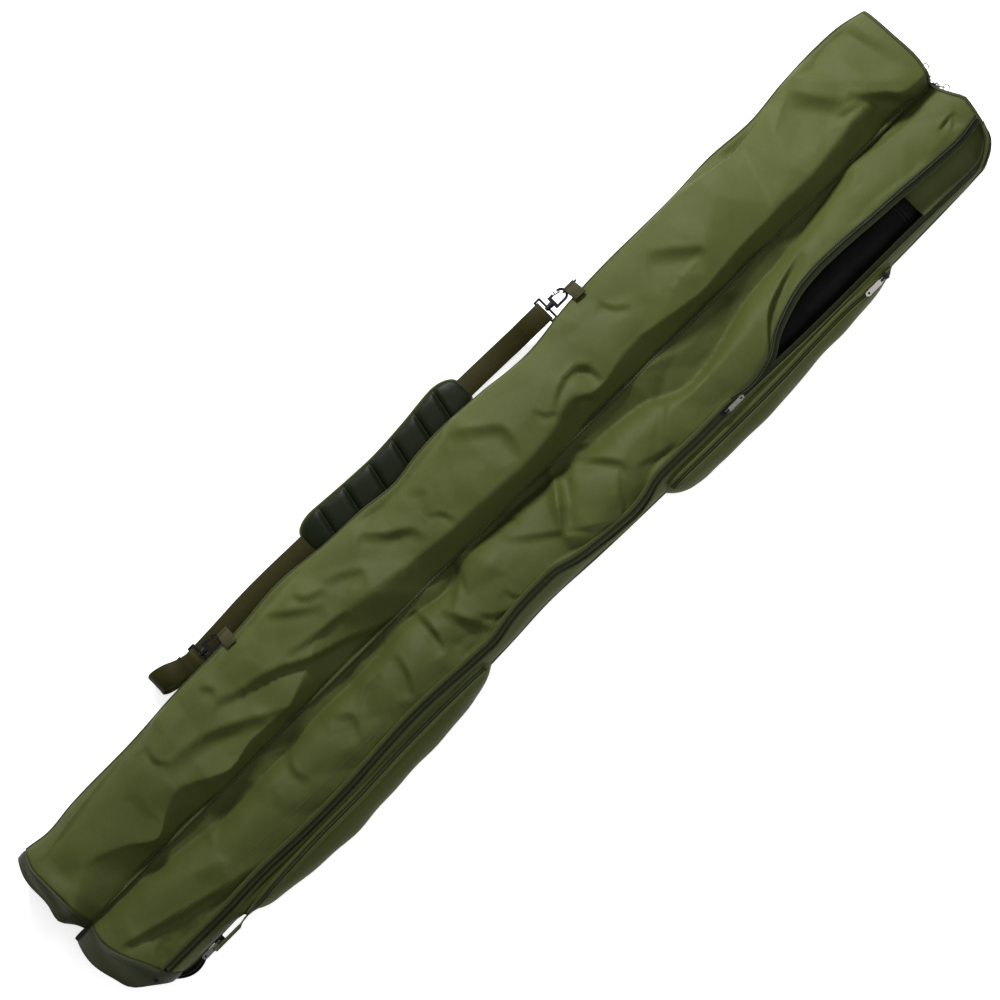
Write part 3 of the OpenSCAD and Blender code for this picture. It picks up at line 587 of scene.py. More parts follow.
def panel_points(x, t, side, ridge, list_of_folds, crumple, calm):
    """A lobe's surface with its folds: sunk along its own normal, and steep below the ridge."""
    points = lobe_point(x, t, side)
    normal = normals_of(points) * side
    away = np.abs(points[..., 1])
    if side > 0:
        slope = VALLEY_Z + (BAG_TOP - VALLEY_Z) * away / ridge
        points[..., 2] = np.where(t > 0.5, soft_min(points[..., 2], slope, 0.0012), points[..., 2])
    sunk = folds(points[..., 0], points[..., 1], list_of_folds) + crumple(points[..., 0], points[..., 1])
    calm = calm * step(x, CAP_X, CAP_X + 0.03) * (1 - step(x, TOP_X - 0.05, TOP_X - 0.014))
    inwards = unit(normal + np.array([0, 0, 2.5]) * step(t, 0.12, 0.42)[..., None])
    return warped(points - inwards * (sunk * calm)[..., None], side)

def left_plates(x, y):
    return facets(x, y, 0.095, 0.0140, 3) + facets(x, y, 0.045, 0.0040, 12)

ROWS, COLUMNS = 440, 52
LAST_SHARE = 0.995
x_rows, left_t = np.meshgrid(np.linspace(CAP_X, TOP_X, ROWS), np.linspace(0, LAST_SHARE, COLUMNS),
                             indexing="ij")
left_calm = step(left_t, 0, 0.12) * (1 - step(left_t, 0.9, 1))
left_points = panel_points(x_rows, left_t, 1, smooth_line(LEFT_RIDGE, x_rows), LEFT_FOLDS, left_plates,
                           left_calm)
left_panel = grid_object("left_lobe", left_points[:, ::-1], OLIVE)
thicken(left_panel, WALL, LINING)
stands_for(left_panel, "bag", "outer_fabric", "front_left_panel")
print("left lobe", len(left_panel.data.polygons), "faces")

# %% [markdown]
# The right lobe's panel ends at the main zip instead of the side seam. Along the open mouth its edge
# swings up over the lobe. The panel is still one grid: only its first column follows the zip or mouth.

# %% The right lobe
ZIP_LINE = [(-0.95, -0.1405), (-0.86, -0.1405), (-0.8, -0.141), (-0.7, -0.138), (-0.6, -0.141),
            (-0.5, -0.140), (-0.4, -0.134), (-0.35, -0.132), (-0.2, -0.138), (-0.17, -0.139),
            (-0.12, -0.131), (-0.05, -0.128), (-0.02, -0.129), (0.02, -0.140), (0.06, -0.146),
            (0.1, -0.150), (0.15, -0.152), (0.175, -0.148), (0.2, -0.141), (0.24, -0.1395), (0.3, -0.1405),
            (0.36, -0.140), (0.42, -0.142), (0.5, -0.145), (0.8, -0.147), (0.92, -0.149), (0.99, -0.148)]
MOUTH_EDGE = [(0.377, -0.136), (0.42, -0.142), (0.45, -0.138), (0.48, -0.127), (0.5, -0.113), (0.54, -0.096),
              (0.58, -0.085), (0.62, -0.081), (0.68, -0.082), (0.75, -0.087), (0.8, -0.090), (0.85, -0.094),
              (0.9, -0.097), (0.94, -0.098), (0.99, -0.092)]
RIGHT_FOLDS = [
    ([(-992, -53), (-940, -61), (-880, -77), (-820, -93), (-760, -108), (-690, -124)], 8, 14),
    ([(-958, -140), (-938, -120), (-914, -104), (-880, -98)], 4, 12),
    ([(-222, -12), (-220, -48), (-230, -98)], 8, 13),
    ([(-190, -38), (-172, -82), (-152, -122)], 7, 15),
    ([(-292, -42), (-300, -80), (-322, -114)], 5, 12),
    ([(-400, -62), (-375, -46), (-340, -38)], 4, 8),
    ([(-525, -30), (-540, -60), (-530, -90)], 4, 14),
    ([(-440, -36), (-412, -62), (-430, -104)], 4, 14),
    ([(28, -94), (60, -56), (98, -6)], 15, 20),
    ([(138, -20), (166, -52), (190, -88)], 8, 15),
    ([(114, -146), (140, -112), (172, -80)], 6, 13),
    ([(44, -94), (75, -118), (112, -142)], 4, 10),
    ([(-120, -18), (-150, -38), (-180, -62)], 4, 12),
    ([(-152, -84), (-140, -105), (-92, -128)], 4, 8),
    ([(-96, -90), (-90, -110), (-80, -124)], 3, 7),
    ([(-40, -30), (0, -62), (42, -92)], 4, 14),
    ([(-14, 0), (-6, -14), (4, -24)], 3, 5),
    ([(148, -2), (165, -20), (204, -30)], 3, 10),
    ([(334, -40), (300, -70), (246, -114)], 4, 14),
    ([(196, -98), (230, -111), (266, -118)], 3, 9),
    ([(436, -148), (470, -124), (495, -98), (520, -75), (560, -58), (626, -41)], 9, 9),
    ([(455, -148), (490, -121), (522, -99)], 4, 6),
    ([(460, -9), (485, -7), (514, -9)], 5, 6),
    ([(484, -26), (489, 2)], 4, 5),
    ([(948, -27), (850, -15), (766, -4)], 4, 9),
    ([(922, -60), (945, -58), (964, -57)], 5, 5),
    ([(940, -76), (956, -58)], 5, 5),
    ([(950, -82), (964, -48)], 4, 4)]

MOUTH_X = 0.377
CORNER_X, CORNER_LENGTH, CORNER_REACH = 0.945, 0.0455, 0.055

def zip_edge(x):
    """The gusset's upper edge in plan: the zip's line, which rounds the top corner at its end."""
    turn = np.sqrt(np.clip(1 - (np.clip(x - CORNER_X, 0, 1) / CORNER_LENGTH) ** 2, 0, 1))
    return smooth_line(ZIP_LINE, x) + CORNER_REACH * (1 - turn)

def right_plates(x, y):
    """Plates that tilt most in the middle of the bag, with smaller ones over them."""
    return ((0.38 + np.exp(-(x / 0.30) ** 2)) * facets(x, y, 0.070, 0.0125, 8)
            + facets(x, y, 0.040, 0.0042, 5))

right_first = np.where(x_rows < MOUTH_X, smooth_line(ZIP_LINE, x_rows) + 0.003,
                       smooth_line(MOUTH_EDGE, x_rows))
first_share = plan_share(x_rows, right_first, -1)
right_t = first_share + (LAST_SHARE - first_share) * np.linspace(0, 1, COLUMNS)[None]
right_calm = step(right_t - first_share, 0, 0.07) * (1 - step(right_t, 0.92, 1))
right_points = panel_points(x_rows, right_t, -1, smooth_line(RIGHT_RIDGE, x_rows), RIGHT_FOLDS,
                            right_plates, right_calm)
right_panel = grid_object("right_lobe", right_points, OLIVE)
thicken(right_panel, WALL, LINING)
stands_for(right_panel, "bag", "outer_fabric", "front_right_panel")
print("right lobe", len(right_panel.data.polygons), "faces")

# %% [markdown]
# Below the zip runs the gusset, and below the side seams the back panel closes the bag. Both are the
# same kind of grid as the lobes, so their seams meet edge to edge. The back lies flat on the floor.

# %% The gusset and the back
GUSSET_COLUMNS = 12
corner_rows = CORNER_X + (TOP_X - CORNER_X) * np.sin(np.linspace(0.06, np.pi / 2, 26))
gusset_rows = np.concatenate([np.linspace(CAP_X, CORNER_X, 280), corner_rows])
x_gusset = gusset_rows[:, None] * np.ones((1, GUSSET_COLUMNS))
gusset_last = plan_share(x_gusset, zip_edge(x_gusset) - 0.003, -1)
gusset_t = gusset_last * np.linspace(0, 1, GUSSET_COLUMNS)[None]
gusset_points = lobe_point(x_gusset, gusset_t, -1)
gusset_waves = (0.002 * np.sin(x_gusset * 37) * np.sin(x_gusset * 11 + 1)
                * np.sin(np.pi * gusset_t / gusset_last))
gusset_points = warped(gusset_points - normals_of(gusset_points) * -gusset_waves[..., None], -1)
gusset = grid_object("zip_gusset_cloth", gusset_points, OLIVE)
thicken(gusset, WALL, LINING)
stands_for(gusset, "bag", "outer_fabric", "zip_gusset")

def back_outline(x):
    """The back's section from the left side seam, under the bag, to the right side seam."""
    left, right = half_width(x, 1), half_width(x, -1)
    turn = np.linspace(0, np.pi / 2, 9)
    corner_z = SEAM_Z * (1 - np.sin(turn))
    left_y = left - SEAM_Z + SEAM_Z * np.cos(turn)
    flat_y = np.linspace(left - SEAM_Z, -(right - SEAM_Z), 14)[1:-1]
    right_y = -(right - SEAM_Z + SEAM_Z * np.cos(turn[::-1]))
    y = np.concatenate([left_y, flat_y, right_y])
    z = np.concatenate([corner_z, np.zeros(12), corner_z[::-1]])
    return points_of(x, y, z)

back_rows = np.linspace(CAP_X, TOP_X, 200)
back_points = np.array([back_outline(x) for x in back_rows])
back_points = np.where(back_points[..., 1:2] > 0, warped(back_points, 1), warped(back_points, -1))
back = grid_object("back_cloth", back_points, OLIVE)
thicken(back, WALL, LINING)
stands_for(back, "bag", "outer_fabric", "back_panel")
print("gusset and back made")

# %% [markdown]
# The two base caps are cups of coated cloth that take the wear when the bag stands on end. Each is
# lofted: rings of the lobe's outline go back from the seam, and the last rings shrink towards the middle
# of the end, where they leave a small hole.

# %% The base caps
RING_OVER = 26

def lobe_ring(x, side):
    """The whole outline of one lobe, from the side seam over the top, down the valley and back below."""
    over = lobe_point(np.full(RING_OVER, x), np.linspace(0, 1, RING_OVER), side)[:, 1:]
    width = half_width(np.array([x]), side)[0]
    turn = np.linspace(np.pi / 2, 0, 9)
    corner = np.stack([side * (width - SEAM_Z + SEAM_Z * np.cos(turn)), SEAM_Z * (1 - np.sin(turn))], 1)
    inner = np.stack([np.full(6, side * 0.001), np.linspace(VALLEY_Z, 0, 7)[1:]], 1)
    below = np.stack([np.linspace(side * 0.001, corner[0, 0], 8)[1:-1], np.zeros(6)], 1)
    return np.concatenate([over, inner, below, corner[:-1]])

CAP_RINGS = ((0, 1.006), (0.2, 1.014), (0.4, 1.016), (0.6, 1.016), (0.8, 1.014), (0.92, 1.01),
             (0.98, 1.0), (1.0, 0.975), (1.005, 0.88), (0.99, 0.62), (0.97, 0.4), (0.96, 0.15))

def cap_centre(side):
    return np.array([side * 0.082, 0.052])

def base_cap(name, side, seam, base, cad_node):
    ring = lobe_ring(CAP_X, side)
    seam_x, base_x = smooth_line(seam, ring[:, 0]), smooth_line(base, ring[:, 0])
    rows = []
    for share, shrink in CAP_RINGS:
        outline = cap_centre(side) + (ring - cap_centre(side)) * shrink
        wave = 0.0022 * np.sin(outline[:, 0] * 60 + share * 5) * np.sin(share * np.pi)
        height = np.clip(np.maximum(outline[:, 1], 0) - wave, 0, None)
        rows.append(points_of(seam_x + share * (base_x - seam_x), outline[:, 0], height))
    points = np.array(rows)
    points = points[:, ::-1] if side < 0 else points
    cap = grid_object(name, points, COATED, around=True)
    thicken(cap, 0.0022, LINING)
    stands_for(cap, "bag", "base_fabric", cad_node)

base_cap("base_cup_left", 1, LEFT_SEAM, LEFT_BASE, "base_cap_left")
base_cap("base_cup_right", -1, RIGHT_SEAM, RIGHT_BASE, "base_cap_right")
print("base caps made")

# %% [markdown]
# Stitches and zip teeth repeat along paths. One Geometry Nodes tree makes them all: it sets points along
# a line of edges, turns each to face along the line and away from the cloth, and puts a small rounded
# bead there. The line carries the "up" direction as an attribute on its points.

# %% Beads along a line
def bead_tree():
    tree = bpy.data.node_groups.new("beads_along_line", "GeometryNodeTree")
    tree.is_modifier = True
    face = tree.interface
    face.new_socket("Geometry", in_out="INPUT", socket_type="NodeSocketGeometry")
    face.new_socket("Geometry", in_out="OUTPUT", socket_type="NodeSocketGeometry")
    for name, kind in (("Spacing", "NodeSocketFloat"), ("Bead Size", "NodeSocketVector"),
                       ("Turn", "NodeSocketVector"), ("Finish", "NodeSocketMaterial")):
        face.new_socket(name, in_out="INPUT", socket_type=kind)
    def add(kind, **settings):
        made = tree.nodes.new(kind)
        for key, value in settings.items():
            setattr(made, key, value)
        return made
    start, end = add("NodeGroupInput"), add("NodeGroupOutput")
    curve = add("GeometryNodeMeshToCurve")
    points = add("GeometryNodeCurveToPoints", mode="LENGTH")
    up = add("GeometryNodeInputNamedAttribute", data_type="FLOAT_VECTOR")
    up.inputs["Name"].default_value = "up"
    axes = add("FunctionNodeAxesToRotation", primary_axis="X", secondary_axis="Z")
    turn = add("FunctionNodeRotateRotation", rotation_space="LOCAL")
    euler = add("FunctionNodeEulerToRotation")
    bead = add("GeometryNodeMeshUVSphere")
    bead.inputs["Segments"].default_value = 6
    bead.inputs["Rings"].default_value = 4
    bead.inputs["Radius"].default_value = 0.5
    place = add("GeometryNodeInstanceOnPoints")
    real = add("GeometryNodeRealizeInstances")
    finish = add("GeometryNodeSetMaterial")
    for source, output, target, socket in (
            (start, "Geometry", curve, "Mesh"), (curve, "Curve", points, "Curve"),
            (start, "Spacing", points, "Length"), (points, "Tangent", axes, "Primary Axis"),
            (up, "Attribute", axes, "Secondary Axis"), (axes, "Rotation", turn, "Rotation"),
            (start, "Turn", euler, "Euler"), (euler, "Rotation", turn, "Rotate By"),
            (points, "Points", place, "Points"), (bead, "Mesh", place, "Instance"),
            (turn, "Rotation", place, "Rotation"), (start, "Bead Size", place, "Scale"),
            (place, "Instances", real, "Geometry"), (real, "Geometry", finish, "Geometry"),
            (start, "Finish", finish, "Material"), (finish, "Geometry", end, "Geometry")):
        tree.links.new(source.outputs[output], target.inputs[socket])
    return tree

BEADS = bead_tree()

def beads(name, lines, spacing, size, material, turn=0.0):
    """Beads along several lines, each a pair (points, ups), as one plain mesh."""
    verts, edges, ups = [], [], []
    for path, up in lines:
        path, up = np.asarray(path, float), np.asarray(up, float)
        up = np.repeat(up[None], len(path), axis=0) if up.ndim == 1 else up
        edges += [(len(verts) + i, len(verts) + i + 1) for i in range(len(path) - 1)]
        verts += path.tolist()
        ups += up.tolist()
    mesh = bpy.data.meshes.new(name)
    mesh.from_pydata(verts, edges, [])
    up_values = mesh.attributes.new("up", "FLOAT_VECTOR", "POINT").data
    up_values.foreach_set("vector", np.array(ups, np.float32).ravel())
    obj = bpy.data.objects.new(name, mesh)
    bpy.context.scene.collection.objects.link(obj)
    modifier = obj.modifiers.new("beads", "NODES")
    modifier.node_group = BEADS
    values = {"Spacing": spacing, "Bead Size": size, "Turn": (0.0, 0.0, turn), "Finish": material}
    for item in BEADS.interface.items_tree:
        if item.item_type == "SOCKET" and item.in_out == "INPUT" and item.name in values:
            modifier[item.identifier] = values[item.name]
    plain(obj)
    obj.data.shade_smooth()
    return obj

def thread(name, colour, roughness):
    material = finish_of(name, colour, roughness, Specular_IOR_Level=0.4)
    bump(material, noise(material, 1800, 2.0), 0.3, 0.0002)
    return material

THREAD_DARK = thread("dark_thread", (0.018, 0.022, 0.010), 0.6)
THREAD_PALE = thread("pale_thread", (0.12, 0.13, 0.07), 0.55)
THREAD_OLIVE = thread("olive_thread", (0.10, 0.11, 0.05), 0.6)
COIL = finish_of("nylon_coil", (0.034, 0.041, 0.012), 0.4, Specular_IOR_Level=0.2)
uneven_gloss(COIL, 0.36, 0.5, 60)
COIL_PITCH, COIL_TILT = 0.0019, 0.12
OPEN_PITCH, OPEN_TOOTH = 0.0021, (0.0015, 0.0036, 0.0022)
SEWN_PITCH, SEWN_BEAD, EDGE_BEAD = 0.0034, (0.0026, 0.0009, 0.0006), (0.0025, 0.0008, 0.0006)
TAPE_THICK = 0.0016
print("beads ready")

# %% [markdown]
# A zip is a woven tape with a nylon coil down its middle. Here the cloth on each side is folded back and
# sewn, which leaves two welts with a dark line between them. The zip follows the same line as the seam
# between the right lobe and the gusset, on the lobe's own surface.

# %% The surface that zips and seams lie on
def on_shell(x, y, side, lift=0.0):
    """Points on the unfolded shell over the plan line (x, y), and the outward normals there."""
    x, y = np.asarray(x, float), np.asarray(y, float)
    share = plan_share(x, y, side)
    here = lobe_point(x, share, side)
    ahead = lobe_point(x, share + 0.004, side)
    behind = lobe_point(x, share - 0.004, side)
    across = unit(ahead - behind)
    normal = unit(np.cross(across, np.array([1.0, 0, 0]))) * side
    return warped(here, side) + normal * lift, normal

def strip_on_shell(name, x, y, side, width, thickness, lift, material):
    path, normal = on_shell(x, y, side, lift)
    return sweep(name, path, normal, flat_section(width, thickness), material)

print("the left lobe passes over x 0, y 0.1 at", on_shell([0.0], [0.1], 1)[0].round(3).tolist())

# %% [markdown]
# The main zip is closed from its foot to the slider. A band of tape carries the coil, and on each side
# lies a dark strip of painted shade, where the welt's edge shades the tape, and then a sewn welt of the bag's
# own cloth.

# %% The main zip
SLIDER_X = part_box("main_slider")[0].x
x_closed = np.linspace(CAP_X + 0.006, SLIDER_X + 0.012, 320)
y_closed = smooth_line(ZIP_LINE, x_closed)
closed_tape = strip_on_shell("main_zip_tape", x_closed, y_closed, -1, 0.016, TAPE_THICK, 0.0004, BINDING)
closed_coil = beads("main_zip_coil", [on_shell(x_closed, y_closed, -1, 0.0016)], COIL_PITCH,
                    (0.0016, 0.0062, 0.0018), COIL, COIL_TILT)
closed_zip = joined("main_zip_closed", [closed_tape, closed_coil])
stands_for(closed_zip, "bag", "zip_tape", "main_zip_chain")

x_welt = np.linspace(CAP_X + 0.002, SLIDER_X + 0.03, 320)
y_welt = smooth_line(ZIP_LINE, x_welt)
welts = [strip_on_shell("welt", x_welt, y_welt + offset, -1, 0.008, TAPE_THICK, 0.0018, OLIVE)
         for offset in (0.0088, -0.0088)]
# Dark strips in the zip tape's colour along the welts' inner edges are painted shade, where each welt's edge
# shades the tape.
shade_strips = [strip_on_shell("painted_shade_strip", x_welt, y_welt + offset, -1, width, 0.0020, 0.0020, TAPE)
           for offset, width in ((0.0044, 0.0026), (-0.0042, 0.0014))]
welt_lines = [on_shell(x_welt, y_welt + offset, -1, 0.0028) for offset in (0.0068, -0.0068)]
welt_stitches = beads("welt_stitches", welt_lines, SEWN_PITCH, SEWN_BEAD, THREAD_DARK)
stands_for(joined("main_zip_welts_with_painted_shade", welts + shade_strips + [welt_stitches]), "bag", "outer_fabric")
print("closed zip runs", round(float(x_closed[0]), 3), "to", round(float(x_closed[-1]), 3))

# %% [markdown]
# Past the slider the zip is open. Each half has its own tape, its own half of the coil, a welt and two rows
# of stitches: one half lies on the lobe's swinging edge and the other on the gusset's edge.

# %% The open half of the main zip
x_open = np.linspace(0.376, TOP_X - 0.003, 170)
y_front = smooth_line(MOUTH_EDGE, x_open)
front_tape = strip_on_shell("front_tape", x_open, y_front - 0.002, -1, 0.013, TAPE_THICK, -0.001, TAPE)
front_welt = strip_on_shell("front_welt", x_open, y_front + 0.0035, -1, 0.0065, 0.0018, 0.0012, TAPE)
front_coil = beads("front_coil", [on_shell(x_open, y_front - 0.0085, -1, -0.0008)], OPEN_PITCH,
                   OPEN_TOOTH, COIL, COIL_TILT)
front_lines = [on_shell(x_open, y_front + offset, -1, 0.0023) for offset in (0.0015, 0.0058)]
front_stitches = beads("front_stitches", front_lines, SEWN_PITCH, EDGE_BEAD, THREAD_OLIVE)
front_zip = joined("mouth_front_tape", [front_tape, front_welt, front_coil, front_stitches])
stands_for(front_zip, "bag", "zip_tape", "main_zip_front_tape")

corner_back = TOP_X - 0.045 + 0.045 * np.sin(np.linspace(0.1, 1.5, 26))
x_back = np.concatenate([np.linspace(0.372, CORNER_X, 160), corner_back])
y_back = zip_edge(x_back)
back_tape = strip_on_shell("back_tape", x_back, y_back - 0.001, -1, 0.008, TAPE_THICK, 0.0002, TAPE)
back_welt = strip_on_shell("back_welt", x_back, y_back - 0.0065, -1, 0.0065, 0.0018, 0.0014, OLIVE)
back_coil = beads("back_coil", [on_shell(x_back, y_back + 0.0035, -1, 0.0002)], OPEN_PITCH,
                  OPEN_TOOTH, COIL, -COIL_TILT)
back_lines = [on_shell(x_back, y_back - offset, -1, 0.0025) for offset in (0.0044, 0.0086)]
back_stitches = beads("back_stitches", back_lines, SEWN_PITCH, EDGE_BEAD, THREAD_OLIVE)
back_zip = joined("mouth_back_tape", [back_tape, back_welt, back_coil, back_stitches])
stands_for(back_zip, "bag", "zip_tape", "main_zip_back_tape")
print("open zip made")

# %% [markdown]
# Each pocket is a bellows of cloth on the gusset's side. Seen from above it is a long low swell whose
# ends run out into the bag. Its section goes from the gusset over the swell and back under the bag,
# and its zip lies where the section turns over. Where the pocket is nearly flat the zip runs on the CAD
# strip's own line, so the slider keeps its tape at the end of its travel.

# %% The pockets
POCKET_Y = -0.150
POCKET_Z = 0.052
OVER_COLUMNS = 14
FLAT_REACH = 0.171

def pocket(name, silhouette, zip_line, start, end, cad_pocket, cad_zip, seed):
    rows, columns = 150, 30
    x = np.linspace(start, end, rows)
    reach = -smooth_line(silhouette, x)
    ends = np.clip(np.minimum(x - start, end - x) / 0.035, 0, 1)
    fullness = np.sqrt(np.clip(1 - (1 - ends) ** 2, 0, 1))
    turn = np.radians(np.linspace(88, -84, columns))
    out = (reach + POCKET_Y)[:, None] * np.cos(turn)[None] ** 0.85
    rng = np.random.default_rng(seed)
    phase = rng.uniform(0, 6, 4)
    wave = 0.0014 * (np.sin(x * 31 + phase[0])[:, None] * np.sin(2.3 * turn + phase[1])[None]
                     + 0.6 * np.sin(x * 67 + phase[2])[:, None] * np.sin(4 * turn + phase[3])[None])
    out = out + wave * np.sin(np.linspace(0, np.pi, columns))[None]
    z = POCKET_Z + (0.012 + 0.026 * fullness)[:, None] * np.sin(turn)[None]
    points = points_of(x[:, None], POCKET_Y - out, z)
    cloth = grid_object(name + "_cloth", points[:, ::-1], OLIVE)
    thicken(cloth, 0.0025, LINING)
    stands_for(cloth, "bag", "outer_fabric", cad_pocket)
    inside = (x > start + 0.012) & (x < end - 0.012)
    y = smooth_line(zip_line, x[inside])
    normals = unit(np.cross(np.gradient(points, axis=1), np.gradient(points, axis=0)))
    path, normal = [], []
    for k, i in enumerate(np.nonzero(inside)[0]):
        outwards = np.maximum.accumulate(-points[i, :OVER_COLUMNS, 1])
        j = float(np.interp(-y[k], outwards, np.arange(float(OVER_COLUMNS))))
        low = min(int(j), OVER_COLUMNS - 2)
        path.append(points[i, low] * (1 - j + low) + points[i, low + 1] * (j - low))
        normal.append(normals[i, low] * (1 - j + low) + normals[i, low + 1] * (j - low))
    path, normal = np.array(path), unit(np.array(normal))
    if normal[:, 2].mean() < 0:
        normal = -normal
    low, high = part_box(cad_zip)
    print(name, "zip stands at", [round(v, 4) for v in (low.y, high.y, low.z, high.z)])
    flat = np.clip((FLAT_REACH - reach[inside]) / 0.005, 0, 1)[:, None]
    strip = points_of(path[:, 0], low.y + 0.001, (low.z + high.z) / 2)
    path = path * (1 - flat) + strip * flat
    normal = unit(normal * (1 - flat) + np.array([0, -1, 0.35]) * flat)
    side = unit(np.cross(np.gradient(path, axis=0), normal))
    pieces = [sweep("tape", path + normal * 0.0006, normal, flat_section(0.012, 0.0014), TAPE)]
    pieces.append(beads("coil", [(path + normal * 0.0016, normal)], COIL_PITCH, (0.0016, 0.005, 0.0016),
                        COIL, COIL_TILT))
    for offset in (0.0064, -0.0064):
        pieces.append(sweep("welt", path + side * offset + normal * 0.0016, normal,
                            flat_section(0.0062, TAPE_THICK), OLIVE))
    lines = [(path + side * offset + normal * 0.0026, normal) for offset in (0.005, -0.005)]
    pieces.append(beads("stitches", lines, SEWN_PITCH, SEWN_BEAD, THREAD_DARK))
    stands_for(joined(name + "_zip", pieces), "bag", "zip_tape", cad_zip)
    print(name, "reaches", round(float(reach.max()), 3))

UPPER_SHAPE = [(0.196, -0.164), (0.205, -0.174), (0.23, -0.190), (0.25, -0.195), (0.3, -0.197),
               (0.45, -0.197), (0.53, -0.190), (0.6, -0.188), (0.68, -0.181), (0.71, -0.173), (0.73, -0.165)]
UPPER_ZIP = [(0.2, -0.1665), (0.3, -0.1685), (0.45, -0.169), (0.55, -0.166), (0.62, -0.1655), (0.66, -0.168),
             (0.73, -0.1685)]
LOWER_SHAPE = [(-0.86, -0.162), (-0.80, -0.164), (-0.76, -0.172), (-0.74, -0.181), (-0.70, -0.190),
               (-0.6, -0.202), (-0.56, -0.203), (-0.5, -0.200), (-0.4, -0.197), (-0.35, -0.194),
               (-0.26, -0.186), (-0.215, -0.176), (-0.195, -0.163)]
LOWER_ZIP = [(-0.86, -0.1665), (-0.80, -0.1685), (-0.75, -0.169), (-0.68, -0.166), (-0.6, -0.163),
             (-0.5, -0.162), (-0.4, -0.158), (-0.32, -0.157), (-0.25, -0.158), (-0.19, -0.160)]
pocket("upper_pocket", UPPER_SHAPE, UPPER_ZIP, 0.198, 0.727, "upper_pocket", "upper_pocket_zip", 4)
pocket("lower_pocket", LOWER_SHAPE, LOWER_ZIP, -0.856, -0.196, "lower_pocket", "lower_pocket_zip", 9)

# %% [markdown]
# Bindings close the raw edges: a ribbed cord along each side seam, a tape down the valley with a row of
# pale stitches, and a bound lip round the top end.

# %% Seams and bindings
x_seam = np.linspace(CAP_X, TOP_X, 260)
for name, side in (("left_side_binding", 1), ("right_side_binding", -1)):
    path = points_of(x_seam, side * half_width(x_seam, side), SEAM_Z)
    cord = sweep(name, warped(path, side), (0, 0, 1), round_section(0.0022, 8), BINDING)
    stands_for(cord, "bag", "outer_fabric")

valley_path = points_of(x_seam, 0.0, VALLEY_Z + 0.0014)
valley_tape = sweep("valley_tape", warped(valley_path, -1), (0, 0, 1), flat_section(0.0036, 0.002), BINDING)
stitch_x = np.linspace(-0.90, 0.93, 300)
valley_line = points_of(stitch_x, 0.0012 + 0.0006 * np.sin(stitch_x * 23), VALLEY_Z + 0.0028)
valley_stitches = beads("valley_stitches", [(valley_line, (0, 0, 1))], 0.0052, (0.0032, 0.0010, 0.0008),
                        THREAD_PALE)
stands_for(joined("valley_seam", [valley_tape, valley_stitches]), "bag", "outer_fabric", "centre_seam")

for name, side in (("left_lip_binding", 1), ("right_lip_binding", -1)):
    outline = lobe_ring(TOP_X, side)
    ring = warped(points_of(TOP_X, outline[:, 0], outline[:, 1]), side)
    path = np.concatenate([ring, ring[:1]])
    ups = unit(path - ring.mean(axis=0))
    binding = sweep(name, path, ups, flat_section(0.006, 0.003), BINDING)
    stands_for(binding, "bag", "outer_fabric")
print("seams bound")

# %% [markdown]
# A few seams cross the lobes themselves, where a panel was pieced. Their stitches have to lie on the
# folded cloth, so each point of the line takes its height from the nearest points of the panel's grid.

# %% Stitches on the folded cloth
def on_folds(grid, knots, count, lift):
    """A line over the plan knots (mm), laid on a panel's folded surface."""
    knots = np.array(knots, float) * MM
    plan = through_knots(knots, np.linspace(0, 1, len(knots)), np.linspace(0, 1, count))
    normals = normals_of(grid).reshape(-1, 3)
    flat = grid.reshape(-1, 3)
    gap = np.linalg.norm(plan[:, None] - flat[None, :, :2], axis=-1)
    nearest = np.argsort(gap, axis=1)[:, :4]
    weight = 1 / (np.take_along_axis(gap, nearest, 1) + 1e-5)
    weight = weight / weight.sum(1, keepdims=True)
    height = (flat[nearest, 2] * weight).sum(1)
    normal = unit((normals[nearest] * weight[..., None]).sum(1))
    normal = normal * np.sign(normal[:, 2:3])
    return np.column_stack([plan, height]) + normal * lift, normal

left_seam_lines = [on_folds(left_points, [(-945, 127), (-850, 143), (-745, 155)], 90, 0.0006),
                   on_folds(left_points, [(560, 157), (650, 149), (728, 156)], 70, 0.0006)]
pieced_left = beads("pieced_left", left_seam_lines, 0.0042, (0.0030, 0.0009, 0.0007), THREAD_PALE)
stands_for(pieced_left, "bag", "outer_fabric")
right_seam_knots = [(-940, -85), (-800, -92), (-600, -104), (-400, -108)]
right_seam_lines = [on_folds(right_points, right_seam_knots, 200, 0.0005)]
pieced_right = beads("pieced_right", right_seam_lines, 0.0050, (0.0028, 0.0008, 0.0006), THREAD_OLIVE)
stands_for(pieced_right, "bag", "outer_fabric")
print("pieced seams sewn")

# %% [markdown]
# The two end walls are set in behind the lip. Each is a sheet that fills the lobe's outline, but for a
# small hole in its middle, and sags in a little. Across the open mouth the wall stays low, under the
# loose lining. The short top zip runs across both.

# %% The top ends
WALL_X = TOP_X - 0.012
MOUTH_FLOOR_Z = 0.060
for name, side, node_name in (("left_end_wall", 1, "top_end_left"), ("right_end_wall", -1, "top_end_right")):
    ring = lobe_ring(WALL_X, side)
    in_mouth = (ring[:, 0] < -0.086) & (ring[:, 0] > -0.156) & (ring[:, 1] > 0.055)
    ring[:, 1] = np.where(in_mouth, MOUTH_FLOOR_Z, ring[:, 1])
    centre = np.array([side * 0.082, 0.045])
    rows = []
    for shrink in (0.975, 0.9, 0.75, 0.55, 0.35, 0.1):
        outline = centre + (ring - centre) * shrink
        sag = 0.006 * (1 - shrink) * np.sin(outline[:, 0] * 50)
        rows.append(warped(np.column_stack([WALL_X - np.abs(sag), outline]), side))
    points = np.array(rows)
    wall = grid_object(name, points[:, ::-1] if side > 0 else points, LINING, around=True)
    thicken(wall, 0.002)
    stands_for(wall, "bag", "lining", node_name)

